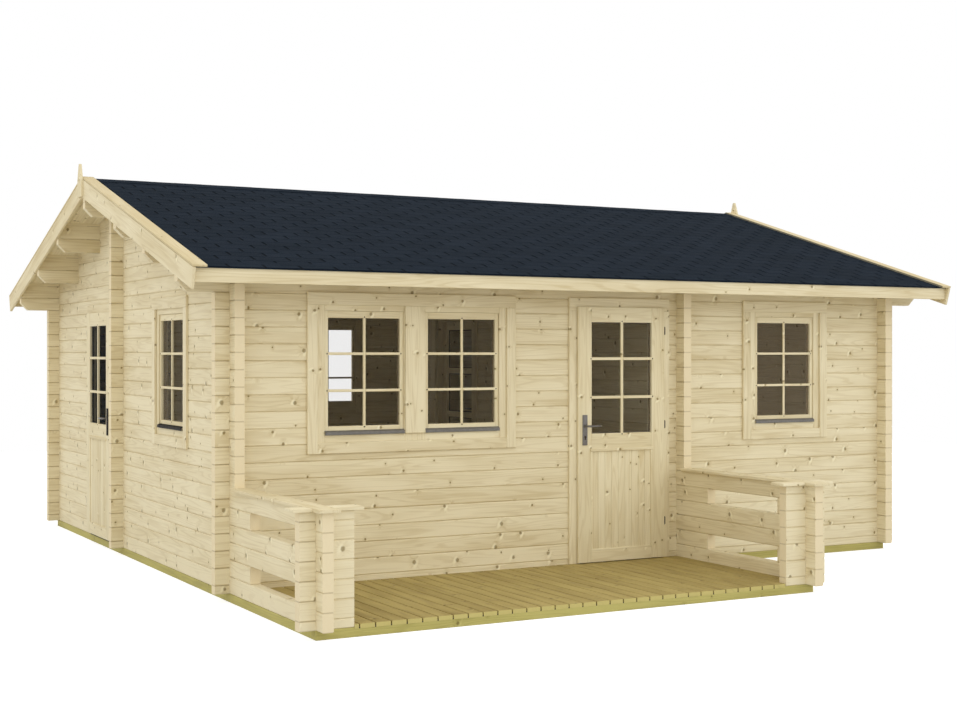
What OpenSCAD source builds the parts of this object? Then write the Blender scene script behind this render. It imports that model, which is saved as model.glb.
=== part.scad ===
// Log cabin with a gable roof, a railed terrace and two log partitions.
// Millimetres, +Z up. X runs along the ridge and the terrace faces -Y.
// The origin lies on the ground under the middle of the outline.

/* [Logs] */
// Thickness of a wall log
log_t = 70; // [60:1:90]
// Height of one log course
course_h = 114; // [104:1:124]
// Chamfer along a log's edges, two of them make a V seam
log_chamfer = 6; // [3:0.5:9]
// Gap between two courses and play in a notch
seam = 0.4; // [0.2:0.1:0.8]
// How far log ends stand out past a crossing
log_end = 100; // [70:1:140]

/* [House] */
// House length along the ridge, over the logs
house_l = 5756; // [5400:1:6200]
// House depth from front to back, over the logs
house_w = 4998; // [4700:1:5400]
// Left face of the long partition behind the right terrace rail
part_x = 3615; // [3580:1:3700]
// Front face of the short cross wall behind the left gable
cross_y = 2637; // [2600:1:2720]
// Free end of the short cross wall
cross_end_x = 1700; // [1200:1:2400]
// Height of the treated ground beams
beam_h = 57; // [45:1:80]
// Width of the treated ground beams
beam_w = 100; // [90:1:120]
// Thickness of the floor and deck boards
floor_t = 19; // [16:1:28]

/* [Terrace] */
// Depth of the terrace in front of the house
terrace_d = 1502; // [1300:1:1900]
// How far the corner logs reach inwards
corner_in = 170; // [130:1:220]
// Length of the short logs beside the house in the rail's gaps
rail_stub = 400; // [250:1:500]
// Length of the short logs behind the corner in the rail's gaps
corner_stub = 297; // [220:1:340]
// Thickness of the rail's cap boards
cap_t = 20; // [15:1:30]
// How far a cap board stands past the logs
cap_over = 32; // [15:1:40]
// How far the cross cap stands past the corner logs' ends
cap_end = 50; // [20:1:70]

/* [Roof] */
// Roof pitch in degrees
pitch = 16.4; // [14:0.1:20]
// Roof underside above the ground beams, at the outer wall face
plate_h = 2229; // [2224:1:2260]
// Thickness of the roof boards
board_t = 15; // [12:1:22]
// Thickness of the shingle covering
shingle_t = 4; // [3:0.5:8]
// Length of the roof past the gable walls
gable_over = 353; // [250:1:450]
// Reach of the roof boards past the long walls
eave_over = 354; // [250:1:400]
// Thickness of the barge and fascia boards
barge_t = 20; // [16:1:28]
// Depth of the barge boards
barge_h = 145; // [120:1:170]
// Reach of the barge boards past the roof boards
barge_past = 36; // [20:1:70]
// Width of the cover boards on the barge boards
cover_w = 93; // [70:1:130]
// Thickness of the cover boards
cover_t = 15; // [12:1:25]
// Height of the eave fascia
fascia_h = 94; // [75:1:115]
// How far the fascia stands up in front of the roof boards
fascia_up = 7; // [3:0.5:10]
// Bevel on the lower ends of purlins and eave logs
purlin_bevel = 64; // [40:1:90]
// Distance from the wall face to the lower purlin
purlin_low_y = 764; // [700:1:820]
// Distance from the wall face to the upper purlin
purlin_high_y = 1532; // [1480:1:1600]
// Width of a finial's foot
finial_w = 112; // [80:1:140]
// Width of a finial's tip
finial_tip = 22; // [14:1:40]
// Height of a finial over the roof ridge
finial_h = 112; // [80:1:160]

/* [Windows] */
// Width of one sash
sash_w = 600; // [540:1:660]
// Width of the sash's stiles
stile_w = 29; // [22:1:45]
// Width of the sash's top rail
sash_head = 47; // [30:1:60]
// Width of the sash's bottom rail
sash_rail = 59; // [50:1:90]
// Width of the window frame's members
frame_w = 60; // [45:1:65]
// Width of the trim boards at a window's sides
trim_w = 75; // [65:1:95]
// Thickness of the trim boards
trim_t = 18; // [14:1:25]
// Width of the trim's bottom board
trim_foot = 75; // [65:1:95]
// Width of the trim's top board
trim_head = 86; // [70:1:100]
// How far the bottom trim stands over the opening's lower edge
foot_lap = 10; // [5:1:30]
// How far the side trim covers the opening's edge
trim_cover = 7.5; // [5:0.5:12]
// How far the trim laps over the logs' opening at top and bottom
trim_lap = 11; // [6:1:16]
// How far the board between two sashes stays beside them
mullion_in = 6.5; // [3:0.5:15]
// Distance between the middles of the two front sashes
twin_pitch = 763; // [755:1:800]
// Middle of the double front window
twin_x = 1359; // [1300:1:1420]
// How far right of the middle of the right room the front window lies
right_win_off = 4.5; // [-80:0.5:80]
// Middle of the left gable window
left_win_y = 1329; // [1280:1:1400]
// Middle of the back window
back_win_x = 2774; // [2650:1:2850]
// Glass thickness
glass_t = 4; // [3:0.5:8]
// Depth of sash and frame
sash_t = 45; // [35:1:60]
// Depth of the sash's face behind the wall's outer face
sash_in = 10; // [2:0.5:15]
// Depth of a window's glass behind the sash's face
glass_in = 14; // [8:1:25]
// Height of a sill's upper edge on the sash
sill_h = 30; // [25:1:45]
// Reach of a sill past the wall's outer face
sill_reach = 14; // [8:1:30]
// Sheet thickness of a sill
sill_t = 3; // [2:0.5:5]

/* [Doors] */
// Width of a door leaf
leaf_w = 781; // [740:1:820]
// Top of a door leaf over the floor
leaf_top = 1917; // [1880:1:1930]
// Gap under a leaf and around its core
leaf_gap = 6; // [5:0.5:8]
// Gap between a leaf's lip and the trim
lip_gap = 5; // [5:0.5:7]
// Thickness of the leaf's lip in front of the trim
lip_t = 17; // [14:1:24]
// Thickness of the leaf's core behind the lip
core_t = 38; // [30:1:44]
// How far the lip laps past the core
lip_lap = 30; // [22:1:36]
// Width of the leaf's stiles beside the glass
door_stile = 119; // [100:1:140]
// Width of the leaf's rail over the glass
door_rail = 113; // [90:1:140]
// Height of the glass in the leaf
door_glass_h = 835; // [780:1:860]
// Height of the lower panel
panel_h = 752; // [680:1:770]
// Height of the leaf's bottom rail
foot_rail = 91; // [80:1:120]
// Stile width beside the lower panel
panel_stile = 105; // [90:1:130]
// Depth of the lower panel's recess
panel_deep = 10; // [6:1:14]
// Thickness of the door frame's members
jamb_w = 34; // [28:1:45]
// Height of the groove under a door's threshold
groove_h = 9; // [5:1:12]
// Depth of that groove
groove_d = 30; // [20:1:40]
// Width of the trim boards around a door
door_trim_w = 87; // [75:1:100]
// Middle of the front door
door_x = 3084; // [3050:1:3100]
// Middle of the left gable door
side_y = 3311; // [3260:1:3400]
// Distance from the back of the house to the middle of the partition's door
inner_in = 1268; // [1200:1:1350]
// Height of one pane of the partition's door
inner_pane = 381; // [350:1:390]
// Width of the trim on the partition's other face
inner_trim_w = 100; // [80:1:120]
// Width of the bars between those panes
inner_bar = 55; // [45:1:65]

/* [Hardware] */
// Width of a handle plate
plate_w = 41; // [34:1:50]
// Height of a handle plate
plate_h2 = 226; // [180:1:250]
// Thickness of a handle plate
plate_t = 8; // [5:1:10]
// Middle of a handle plate over the floor
plate_z = 997; // [950:1:1040]
// Distance from the leaf's edge to the plate's middle
plate_in = 57; // [45:1:65]
// Height of the lever over the plate's middle
lever_up = 30; // [10:1:60]
// Length of the lever
lever_l = 125; // [100:1:140]
// Diameter of the lever
lever_d = 16; // [12:1:20]
// Distance of the lever from the plate
lever_out = 42; // [35:1:50]
// Radius of a hinge knuckle
hinge_r = 7; // [6:0.5:9]
// Length of each half of a hinge
hinge_l = 27; // [20:1:50]
// Places of the three hinges over the floor
hinge_z1 = 285; // [240:1:320]
// Middle hinge over the floor
hinge_z2 = 1025; // [980:1:1060]
// Upper hinge over the floor
hinge_z3 = 1743; // [1700:1:1780]

/* [Hidden] */
// Clearance between pieces that are set into each other
fit = 0.3;
// Play of a sash in its frame
sash_play = 1;
// Overrun of every cut
cut = 20;
// Number of the course whose lower seam is a window's sill
sill_course = 8;
// Number of the course whose lower seam is the head of windows and doors
head_course = 17;
// Number of the top course on the long walls
top_course = 18;
// Courses that a purlin lies above the one below it
purlin_step = 2;
// Number of courses in the terrace rail
rail_courses = 6;
// Courses of the rail that run through, and those left open
rail_full = [0, 2, 3, 5];
rail_open = [1, 4];
// Number of panes in the partition's door
inner_panes = 4;

floor_z = beam_h + floor_t;
mid_y = house_w / 2;
ridge_z = beam_h + plate_h + mid_y * tan(pitch);
front_y = -(terrace_d + log_end + cap_over);
roof_s = (mid_y + eave_over) / cos(pitch);
barge_s = roof_s + barge_past;
fascia_y = mid_y + eave_over - shingle_t;
board_s = (fascia_y - barge_t - fit - board_t * sin(pitch)) / cos(pitch);
barge_n = board_t + shingle_t;
back_y = mid_y + barge_s * cos(pitch) + (barge_n + cover_t) * sin(pitch);
centre_y = (front_y + back_y) / 2;
end_x0 = -gable_over;
end_x1 = house_l + gable_over;
right_x = house_l - log_t;
back_wall_y = house_w - log_t;
part_x1 = part_x + log_t;
right_win_x = (part_x1 + right_x) / 2 + right_win_off;
inner_y = house_w - inner_in;
open_half = sash_w / 2 + frame_w + sash_play + trim_lap / 3;
win_z0 = zx(sill_course);
win_z1 = zx(head_course);
core_w = leaf_w - 2 * lip_lap;
core_top = floor_z + leaf_top - lip_lap + leaf_gap;
door_half = core_w / 2 + leaf_gap + jamb_w;
gable_courses = ceil((ridge_z - beam_h) / course_h);
cross_courses = floor((min(under(cross_y), under(cross_y + log_t)) - zx(0)) / course_h);
lip_y = trim_t + lip_gap;
hinge_u = leaf_w / 2 + hinge_r;
hinge_v = lip_y + lip_t / 2;
leaf_z0 = floor_z + leaf_gap;

// Lower seam of a course on the walls along X, which start with a half log
function zx(k) = beam_h + course_h / 2 + k * course_h;
// Lower seam of a course on the walls along Y
function zy(j) = beam_h + j * course_h;
// Roof underside at a place between front and back
function under(y) = ridge_z - abs(mid_y - y) * tan(pitch);
// Point on a roof slope, s down the slope and n over the underside
function slope_pt(side, s, n) = [mid_y + side * (s * cos(pitch) + n * sin(pitch)),
    ridge_z - s * sin(pitch) + n * cos(pitch)];

module seat() {
    translate([0, -centre_y, 0]) translate([-house_l / 2, 0, 0]) children();
}

// Box between two corners
module span(a, b) {
    translate(a) cube(b - a);
}

// Profile in the YZ plane drawn out along X
module along_x(x0, x1) {
    translate([x0, 0, 0]) rotate([90, 0, 90]) linear_extrude(height = x1 - x0) children();
}

// Profile in the XZ plane drawn out along Y
module along_y(y0, y1) {
    translate([0, y1, 0]) rotate([90, 0, 0]) linear_extrude(height = y1 - y0) children();
}

// Section of one log with chamfered edges, its foot at the origin
module log_section(w, h) {
    c = log_chamfer;
    polygon([[c, 0], [w - c, 0], [w, c], [w, h - c], [w - c, h], [c, h], [0, h - c], [0, c]]);
}

module log_x(x0, x1, y, z0, z1) {
    along_x(x0, x1) translate([y, z0]) log_section(log_t, z1 - z0);
}

module log_y(y0, y1, x, z0, z1) {
    along_y(y0, y1) translate([x, z0]) log_section(log_t, z1 - z0);
}

// Everything above the underside of the roof, and the play under it
module above_roof() {
    low = -(terrace_d + log_end);
    high = house_w + terrace_d;
    top = ridge_z + course_h;
    along_x(end_x0 - cut, end_x1 + cut)
        polygon([[low, under(low) - fit], [mid_y, ridge_z - fit], [high, under(high) - fit],
            [high, top], [low, top]]);
}

// Room in a log along X for the necks of a wall along Y that crosses at x
module necks_of_y(x, y, j0, j1) {
    for (j = [j0:j1])
        span([x - seam, y - cut, zy(j) + course_h / 4 - seam / 2],
            [x + log_t + seam, y + log_t + cut, zy(j) + 3 * course_h / 4 + seam / 2]);
}

// Room in a log along Y for the necks of a wall along X that crosses at y
module necks_of_x(x, y, k0, k1) {
    for (k = [k0:k1])
        span([x - cut, y - seam, max(zx(k) + course_h / 4, beam_h) - seam / 2],
            [x + log_t + cut, y + log_t + seam, zx(k) + 3 * course_h / 4 + seam / 2]);
}

// One course of a wall along X; k = -1 is the half log on the beams
module course_x(k, x0, x1, y, crossings) {
    z0 = k < 0 ? beam_h : zx(k);
    z1 = zx(k + 1) - seam;
    difference() {
        log_x(x0, x1, y, z0, z1);
        for (x = crossings) necks_of_y(x, y, k < 0 ? 0 : k, k + 1);
    }
}

// One course of a wall along Y, with the crossing walls along X in ys
module course_y(j, y0, y1, x, ys) {
    difference() {
        log_y(y0, y1, x, zy(j), zy(j + 1) - seam);
        for (y = ys) necks_of_x(x, y, j - 2, j);
    }
}

// Course of a wall along X that ends in the eave overhang, with bevelled ends
module eave_course(y, crossings) {
    k = head_course;
    difference() {
        course_x(k, end_x0, end_x1, y, crossings);
        for (m = [0, 1]) end_bevel(m, y, zx(k));
    }
}

// Wedge that takes off the lower corner of a log's end at the gable overhang
module end_bevel(m, y, z) {
    along_y(y - cut, y + log_t + cut)
        translate([m == 0 ? end_x0 : end_x1, z])
        polygon(m == 0 ? [[-cut, -cut], [purlin_bevel + cut, -cut], [-cut, purlin_bevel + cut]]
            : [[cut, -cut], [-purlin_bevel - cut, -cut], [cut, purlin_bevel + cut]]);
}

// Top course of a long wall, planed to the roof's pitch
module plate_course(y, crossings) {
    k = top_course;
    difference() {
        log_x(end_x0, end_x1, y, zx(k), zx(k) + 2 * course_h);
        for (x = crossings) necks_of_y(x, y, k, k + 2);
        above_roof();
    }
}

// Log pile that makes a purlin: a bevelled log with a planed one on it
module purlin(y, z) {
    difference() {
        log_x(end_x0, end_x1, y, z, z + course_h - seam);
        for (m = [0, 1]) end_bevel(m, y, z);
    }
    difference() {
        log_x(end_x0, end_x1, y, z + course_h, ridge_z + course_h);
        above_roof();
    }
}

// Pockets for all the purlins in a wall along Y
module purlin_pockets(x) {
    for (p = purlin_places)
        span([x - cut, p[0] - seam, p[1] - seam], [x + log_t + cut, p[0] + log_t + seam, ridge_z + course_h]);
}

low_z = zx(head_course + purlin_step);
high_z = zx(head_course + 2 * purlin_step);
top_z = zx(head_course + 3 * purlin_step);
purlin_places = [[purlin_low_y, low_z], [purlin_high_y, high_z], [mid_y - log_t / 2, top_z],
    [house_w - purlin_high_y - log_t, high_z], [house_w - purlin_low_y - log_t, low_z]];

// Courses j0 to j1 of a full-height wall along Y under the roof
module roofed_courses(j0, j1, y0, y1, x, ys) {
    for (j = [j0:j1]) difference() {
        course_y(j, y0, y1, x, ys);
        above_roof();
        purlin_pockets(x);
    }
}

// Openings as boxes through a wall
module window_hole_x(x, y) {
    span([x - open_half, y - cut, win_z0], [x + open_half, y + log_t + cut, win_z1]);
}

module window_hole_y(y, x) {
    span([x - cut, y - open_half, win_z0], [x + log_t + cut, y + open_half, win_z1]);
}

module door_hole_y(y, x) {
    span([x - cut, y - door_half, beam_h - cut], [x + log_t + cut, y + door_half, win_z1]);
}

front_crossings = [0, part_x, right_x];
twin_half = twin_pitch / 2 + open_half;
back_crossings = [0, part_x, right_x];

module foundation_beams() {
    color([0.66, 0.62, 0.31]) seat() {
        w = beam_w;
        // front, back and terrace beams run through, the others fit between them
        span([0, -terrace_d, 0], [part_x1, w - terrace_d, beam_h]);
        span([0, 0, 0], [house_l, w, beam_h]);
        span([0, house_w - w, 0], [house_l, house_w, beam_h]);
        for (x = [0, part_x1 - w])
            span([x, w - terrace_d + fit, 0], [x + w, -fit, beam_h]);
        for (x = [0, house_l - w])
            span([x, w + fit, 0], [x + w, house_w - w - fit, beam_h]);
        px = (part_x + part_x1 - w) / 2;
        span([px, w + fit, 0], [px + w, house_w - w - fit, beam_h]);
        cy = cross_y + (log_t - w) / 2;
        span([w + fit, cy, 0], [px - fit, cy + w, beam_h]);
        span([px + w + fit, cy, 0], [house_l - w - fit, cy + w, beam_h]);
        ty = -terrace_d / 2 - w / 2;
        span([w + fit, ty, 0], [part_x1 - w - fit, ty + w, beam_h]);
    }
}

module house_floor() {
    g = seam;
    color([0.80, 0.70, 0.50]) seat() {
        z = [beam_h, floor_z];
        span([log_t + g, log_t + g, z[0]], [part_x - g, cross_y - g, z[1]]);
        span([cross_end_x + g, cross_y, z[0]], [part_x - g, back_wall_y - g, z[1]]);
        span([log_t + g, cross_y + log_t + g, z[0]], [cross_end_x, back_wall_y - g, z[1]]);
        span([part_x1 + g, log_t + g, z[0]], [right_x - g, back_wall_y - g, z[1]]);
    }
}

module terrace_deck() {
    color([0.62, 0.56, 0.32]) seat() difference() {
        span([log_t + seam, -terrace_d, beam_h], [part_x - seam, -seam, floor_z]);
        for (x = [log_t - cut, part_x - corner_in - seam])
            span([x, -terrace_d - cut, beam_h - cut],
                [x + corner_in + seam + cut, log_t - terrace_d + seam, floor_z + cut]);
    }
}

module front_wall_left() {
    color([0.87, 0.80, 0.64]) seat() for (k = [-1:head_course - 1]) difference() {
        course_x(k, -log_end, door_x - door_half, 0, [0]);
        window_cut_twin();
    }
}

module window_cut_twin() {
    span([twin_x - twin_half, -cut, win_z0], [twin_x + twin_half, log_t + cut, win_z1]);
}

module front_wall_right() {
    color([0.87, 0.80, 0.64]) seat() for (k = [-1:head_course - 1]) difference() {
        course_x(k, door_x + door_half, house_l + log_end, 0, [part_x, right_x]);
        window_hole_x(right_win_x, 0);
    }
}

module front_wall_head() {
    color([0.87, 0.80, 0.64]) seat() {
        eave_course(0, front_crossings);
        plate_course(0, front_crossings);
    }
}

module left_wall_front() {
    color([0.85, 0.77, 0.60]) seat() for (j = [0:head_course - 1]) difference() {
        course_y(j, wall_front(j), side_y - door_half, 0, [0, cross_y]);
        window_hole_y(left_win_y, 0);
    }
}

// Front end of a wall log along Y, which is longer in the rail's open courses
function wall_front(j) = len(search(j, rail_open)) > 0 ? -rail_stub : -log_end;

module left_wall_back() {
    color([0.85, 0.77, 0.60]) seat() for (j = [0:head_course - 1])
        course_y(j, side_y + door_half, house_w + log_end, 0, [back_wall_y]);
}

module left_gable() {
    color([0.85, 0.77, 0.60]) seat() {
        difference() {
            course_y(head_course, -log_end, house_w + log_end, 0, [0, cross_y, back_wall_y]);
            window_hole_y(left_win_y, 0);
            door_hole_y(side_y, 0);
        }
        gable_top(0, [0, cross_y, back_wall_y]);
    }
}

// Gable courses over the heads of the windows
module gable_top(x, ys) {
    course_y(head_course + 1, -log_end, house_w + log_end, x, ys);
    roofed_courses(head_course + 2, gable_courses - 1, -log_end, house_w + log_end, x, ys);
}

module right_wall() {
    color([0.85, 0.77, 0.60]) seat() {
        for (j = [0:head_course])
            course_y(j, -log_end, house_w + log_end, right_x, [0, back_wall_y]);
        gable_top(right_x, [0, back_wall_y]);
    }
}

module back_wall() {
    color([0.87, 0.80, 0.64]) seat() {
        for (k = [-1:head_course - 1]) difference() {
            course_x(k, -log_end, house_l + log_end, back_wall_y, back_crossings);
            window_hole_x(back_win_x, back_wall_y);
        }
        eave_course(back_wall_y, back_crossings);
        plate_course(back_wall_y, back_crossings);
    }
}

module cross_wall() {
    k = cross_courses - 1;
    color([0.87, 0.80, 0.64]) seat() {
        for (i = [-1:k - 1]) course_x(i, -log_end, cross_end_x, cross_y, [0]);
        difference() {
            log_x(-log_end, cross_end_x, cross_y, zx(k), zx(k) + 3 * course_h);
            necks_of_y(0, cross_y, k, k + 3);
            above_roof();
        }
    }
}

module partition_front() {
    color([0.85, 0.77, 0.60]) seat() for (j = [0:head_course - 1])
        course_y(j, wall_front(j), inner_y - door_half, part_x, [0]);
}

module partition_back() {
    color([0.85, 0.77, 0.60]) seat() for (j = [0:head_course - 1])
        course_y(j, inner_y + door_half, house_w + log_end, part_x, [back_wall_y]);
}

module partition_head() {
    color([0.85, 0.77, 0.60]) seat() {
        difference() {
            course_y(head_course, -log_end, house_w + log_end, part_x, [0, back_wall_y]);
            door_hole_y(inner_y, part_x);
        }
        gable_top(part_x, [0, back_wall_y]);
    }
}

// Terrace rail along Y: through logs that butt on the wall's log ends, and stubs at the corner
module rail(x) {
    for (j = rail_full)
        course_y(j, -terrace_d - log_end, -log_end - seam, x, [-terrace_d]);
    for (j = rail_open)
        course_y(j, -terrace_d - log_end, corner_stub - terrace_d, x, [-terrace_d]);
}

module rail_left() {
    color([0.85, 0.77, 0.60]) seat() rail(0);
}

module rail_right() {
    color([0.85, 0.77, 0.60]) seat() rail(part_x);
}

// Pile of short logs that locks a rail's corner
module corner_pile(x0, x1, x) {
    for (k = [-1:rail_courses - 2])
        course_x(k, x0, x1, -terrace_d, [x]);
    z = zx(rail_courses - 1);
    difference() {
        log_x(x0, x1, -terrace_d, z, zy(rail_courses) - seam);
        necks_of_y(x, -terrace_d, rail_courses - 1, rail_courses - 1);
    }
}

module rail_corners() {
    color([0.87, 0.80, 0.64]) seat() {
        corner_pile(-log_end, log_t + corner_in, 0);
        corner_pile(part_x - corner_in, part_x1 + log_end, part_x);
    }
}

// Cap boards: one along the rail, and one across it at the corner
module rail_cap(x, x0, x1) {
    z = zy(rail_courses);
    y0 = -terrace_d - cap_over;
    y1 = log_t - terrace_d + cap_over;
    union() {
        span([x - cap_over, front_y, z], [x + log_t + cap_over, -log_end - seam, z + cap_t]);
        span([x0 - cap_end, y0, z], [x1 + cap_end, y1, z + cap_t]);
        span([x - cap_over, -log_end - seam - fit, z], [x - seam, -seam, z + cap_t]);
        span([x + log_t + seam, -log_end - seam - fit, z], [x + log_t + cap_over, -seam, z + cap_t]);
    }
}

module rail_caps() {
    color([0.88, 0.82, 0.66]) seat() {
        rail_cap(0, -log_end, log_t + corner_in);
        rail_cap(part_x, part_x - corner_in, part_x1 + log_end);
    }
}

module ridge_purlin() {
    color([0.83, 0.75, 0.58]) seat() purlin(purlin_places[2][0], purlin_places[2][1]);
}

module purlins() {
    color([0.83, 0.75, 0.58]) seat()
        for (i = [0, 1, 3, 4]) purlin(purlin_places[i][0], purlin_places[i][1]);
}

// Sheet on one roof slope between two heights over the underside, mitred at the ridge
module slope_sheet(side, x0, x1, n0, n1, s) {
    r = mid_y + side * fit / 2;
    along_x(x0, x1)
        polygon([[r, ridge_z + n0 / cos(pitch)], [r, ridge_z + n1 / cos(pitch)],
            slope_pt(side, s, n1), slope_pt(side, s, n0)]);
}

module roof_boards_front() {
    color([0.80, 0.71, 0.52]) seat() slope_sheet(-1, end_x0, end_x1, 0, board_t, board_s);
}

module roof_boards_back() {
    color([0.80, 0.71, 0.52]) seat() slope_sheet(1, end_x0, end_x1, 0, board_t, board_s);
}

// Covering with an edge that laps over the ends of the roof boards and rests on the fascia
module covering(side) {
    r = mid_y + side * fit / 2;
    n0 = fascia_up * cos(pitch) + fit;
    n1 = board_t + shingle_t;
    s1 = roof_s + shingle_t;
    along_x(end_x0, end_x1)
        polygon([[r, ridge_z + board_t / cos(pitch)], [r, ridge_z + n1 / cos(pitch)],
            slope_pt(side, s1, n1), slope_pt(side, s1, n0),
            slope_pt(side, board_s + fit, n0), slope_pt(side, board_s + fit, board_t)]);
}

module roof_covering_front() {
    color([0.16, 0.19, 0.23]) seat() covering(-1);
}

module roof_covering_back() {
    color([0.16, 0.19, 0.23]) seat() covering(1);
}

module barge_boards() {
    color([0.86, 0.78, 0.61]) seat() for (side = [-1, 1], m = [0, 1]) {
        x0 = m == 0 ? end_x0 - barge_t : end_x1;
        slope_sheet(side, x0, x0 + barge_t, barge_n - barge_h, barge_n, barge_s);
    }
}

module barge_covers() {
    color([0.88, 0.81, 0.64]) seat() for (side = [-1, 1], m = [0, 1]) {
        x0 = m == 0 ? end_x0 - barge_t : end_x1 + barge_t - cover_w;
        slope_sheet(side, x0, x0 + cover_w, barge_n + fit, barge_n + cover_t, barge_s);
    }
}

module finials() {
    z0 = ridge_z + (barge_n - barge_h) / cos(pitch);
    z1 = ridge_z + barge_n / cos(pitch) - finial_w / 2 * tan(pitch);
    z2 = ridge_z + barge_n / cos(pitch) + finial_h;
    color([0.88, 0.81, 0.64]) seat() for (m = [0, 1]) {
        x0 = m == 0 ? end_x0 - 2 * barge_t : end_x1 + barge_t;
        along_x(x0, x0 + barge_t)
            translate([mid_y, 0])
            polygon([[-finial_w / 2, z0], [finial_w / 2, z0], [finial_w / 2, z1],
                [finial_tip / 2, z2], [-finial_tip / 2, z2], [-finial_w / 2, z1]]);
    }
}

module eave_fascias() {
    color([0.87, 0.79, 0.62]) seat() for (side = [-1, 1]) {
        y1 = mid_y + side * fascia_y;
        y0 = y1 - side * barge_t;
        z1 = under(y1) + fascia_up;
        z0 = under(y0) + fascia_up;
        along_x(end_x0, end_x1)
            polygon([[y0, z1 - fascia_h], [y1, z1 - fascia_h], [y1, z1], [y0, z0]]);
    }
}

// Window parts, drawn facing -Y with the wall's outer face at y = 0 and u from the sash's middle
sash_z0 = win_z0 + frame_w + sash_play;
sash_z1 = win_z1 - course_h - sash_play;

module window_frame_parts() {
    h = sash_w / 2 + sash_play;
    o = h + frame_w;
    // four frame members, the sides stand between head and foot
    for (m = [0, 1]) mirror([m, 0, 0])
        span([h, 0, win_z0 + fit], [o, log_t, sash_z1 + frame_w]);
    span([fit - h, 0, sash_z1 + sash_play], [h - fit, log_t, sash_z1 + frame_w]);
    span([fit - h, 0, win_z0 + fit], [h - fit, log_t, sash_z0 - fit]);
}

module window_sash() {
    difference() {
        span([-sash_w / 2, sash_in, sash_z0], [sash_w / 2, sash_in + sash_t, sash_z1]);
        span([stile_w - sash_w / 2, -cut, sash_z0 + sash_rail],
            [sash_w / 2 - stile_w, sash_t + cut, sash_z1 - sash_head]);
    }
}

module window_pane() {
    y = sash_in + glass_in;
    span([stile_w - sash_w / 2 + fit, y, sash_z0 + sash_rail + fit],
        [sash_w / 2 - stile_w - fit, y + glass_t, sash_z1 - sash_head - fit]);
}

// Trim boards round an opening of the given half width
module window_trim(half) {
    i = half - trim_cover;
    o = i + trim_w;
    zt = win_z1 + trim_lap;
    zi = zt - trim_head;
    zb = win_z0 + foot_lap;
    for (m = [0, 1]) mirror([m, 0, 0])
        span([i, -trim_t, zb - trim_foot], [o, -fit, zi - fit]);
    span([-o, -trim_t, zi], [o, -fit, zt]);
    span([fit - i, -trim_t, zb - trim_foot], [i - fit, -fit, zb]);
}

module window_sill() {
    // bent sheet that falls away from the sash
    z = sash_z0 + sill_h;
    t = sill_t;
    b = sash_in - fit;
    translate([-sash_w / 2, 0, 0]) rotate([90, 0, 90]) linear_extrude(height = sash_w)
        polygon([[b, z], [-sill_reach, z - sill_h / 3], [-sill_reach, z - sill_h],
            [t - sill_reach, z - sill_h], [t - sill_reach, z - sill_h / 3 - t], [b, z - t]]);
}

// Places of all the sashes: the twin ones, then right, left and back
module at_twin(m) {
    translate([twin_x + m * twin_pitch / 2, 0, 0]) children();
}

module at_right_win() {
    translate([right_win_x, 0, 0]) children();
}

module at_left_win() {
    translate([0, left_win_y, 0]) rotate([0, 0, -90]) children();
}

module at_back_win() {
    translate([back_win_x, house_w, 0]) rotate([0, 0, 180]) children();
}

module at_each_sash() {
    at_twin(-1) children();
    at_twin(1) children();
    at_right_win() children();
    at_left_win() children();
    at_back_win() children();
}

module window_frames() {
    color([0.86, 0.79, 0.62]) seat() {
        at_each_sash() window_frame_parts();
        at_right_win() window_trim(open_half);
        at_left_win() window_trim(open_half);
        at_back_win() window_trim(open_half);
        translate([twin_x, 0, 0]) {
            window_trim(twin_half);
            p = twin_pitch / 2 - sash_w / 2 - frame_w - sash_play - fit;
            b = twin_pitch / 2 - sash_w / 2 - mullion_in;
            span([-p, 0, win_z0 + fit], [p, log_t, sash_z1 + frame_w]);
            span([-b, -trim_t, sash_z0], [b, -fit, win_z1 + trim_lap - trim_head - fit]);
        }
    }
}

module window_sashes() {
    color([0.88, 0.82, 0.66]) seat() at_each_sash() window_sash();
}

module window_glass() {
    color([0.30, 0.27, 0.20, 0.5]) seat() at_each_sash() window_pane();
}

module window_sills() {
    color([0.36, 0.37, 0.42]) seat() at_each_sash() window_sill();
}

// Door parts, drawn facing -Y, handle at -u and hinges at +u
module door_frame_parts() {
    i = core_w / 2 + leaf_gap;
    o = i + jamb_w;
    zt = win_z1 + trim_lap;
    w = door_trim_w;
    for (m = [0, 1]) mirror([m, 0, 0]) {
        span([i, 0, floor_z + fit], [o - fit, log_t, core_top + jamb_w]);
        span([i, -trim_t, floor_z + fit], [i + w, -fit, core_top - fit]);
    }
    span([fit - i, 0, core_top], [i - fit, log_t, core_top + jamb_w]);
    span([-i - w, -trim_t, core_top], [i + w, -fit, zt]);
    // threshold with a groove under its outer edge
    translate([-o + fit, 0, 0]) rotate([90, 0, 90]) linear_extrude(height = 2 * (o - fit))
        polygon([[0, beam_h + groove_h], [groove_d, beam_h + groove_h], [groove_d, beam_h],
            [log_t, beam_h], [log_t, floor_z], [0, floor_z]]);
}

module door_slab() {
    z1 = floor_z + leaf_top;
    union() {
        span([-leaf_w / 2, -lip_y - lip_t, leaf_z0], [leaf_w / 2, -lip_y, z1]);
        span([-core_w / 2, -lip_y - fit, leaf_z0], [core_w / 2, core_t - lip_y, z1 - lip_lap]);
    }
}

door_glass_z1 = floor_z + leaf_top - door_rail;
door_glass_z0 = door_glass_z1 - door_glass_h;

module door_leaf() {
    g = leaf_w / 2 - door_stile;
    p = leaf_w / 2 - panel_stile;
    difference() {
        door_slab();
        span([-g, -lip_y - lip_t - cut, door_glass_z0], [g, core_t, door_glass_z1]);
        span([-p, -lip_y - lip_t - cut, leaf_z0 + foot_rail],
            [p, panel_deep - lip_y - lip_t, leaf_z0 + foot_rail + panel_h]);
    }
}

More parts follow.
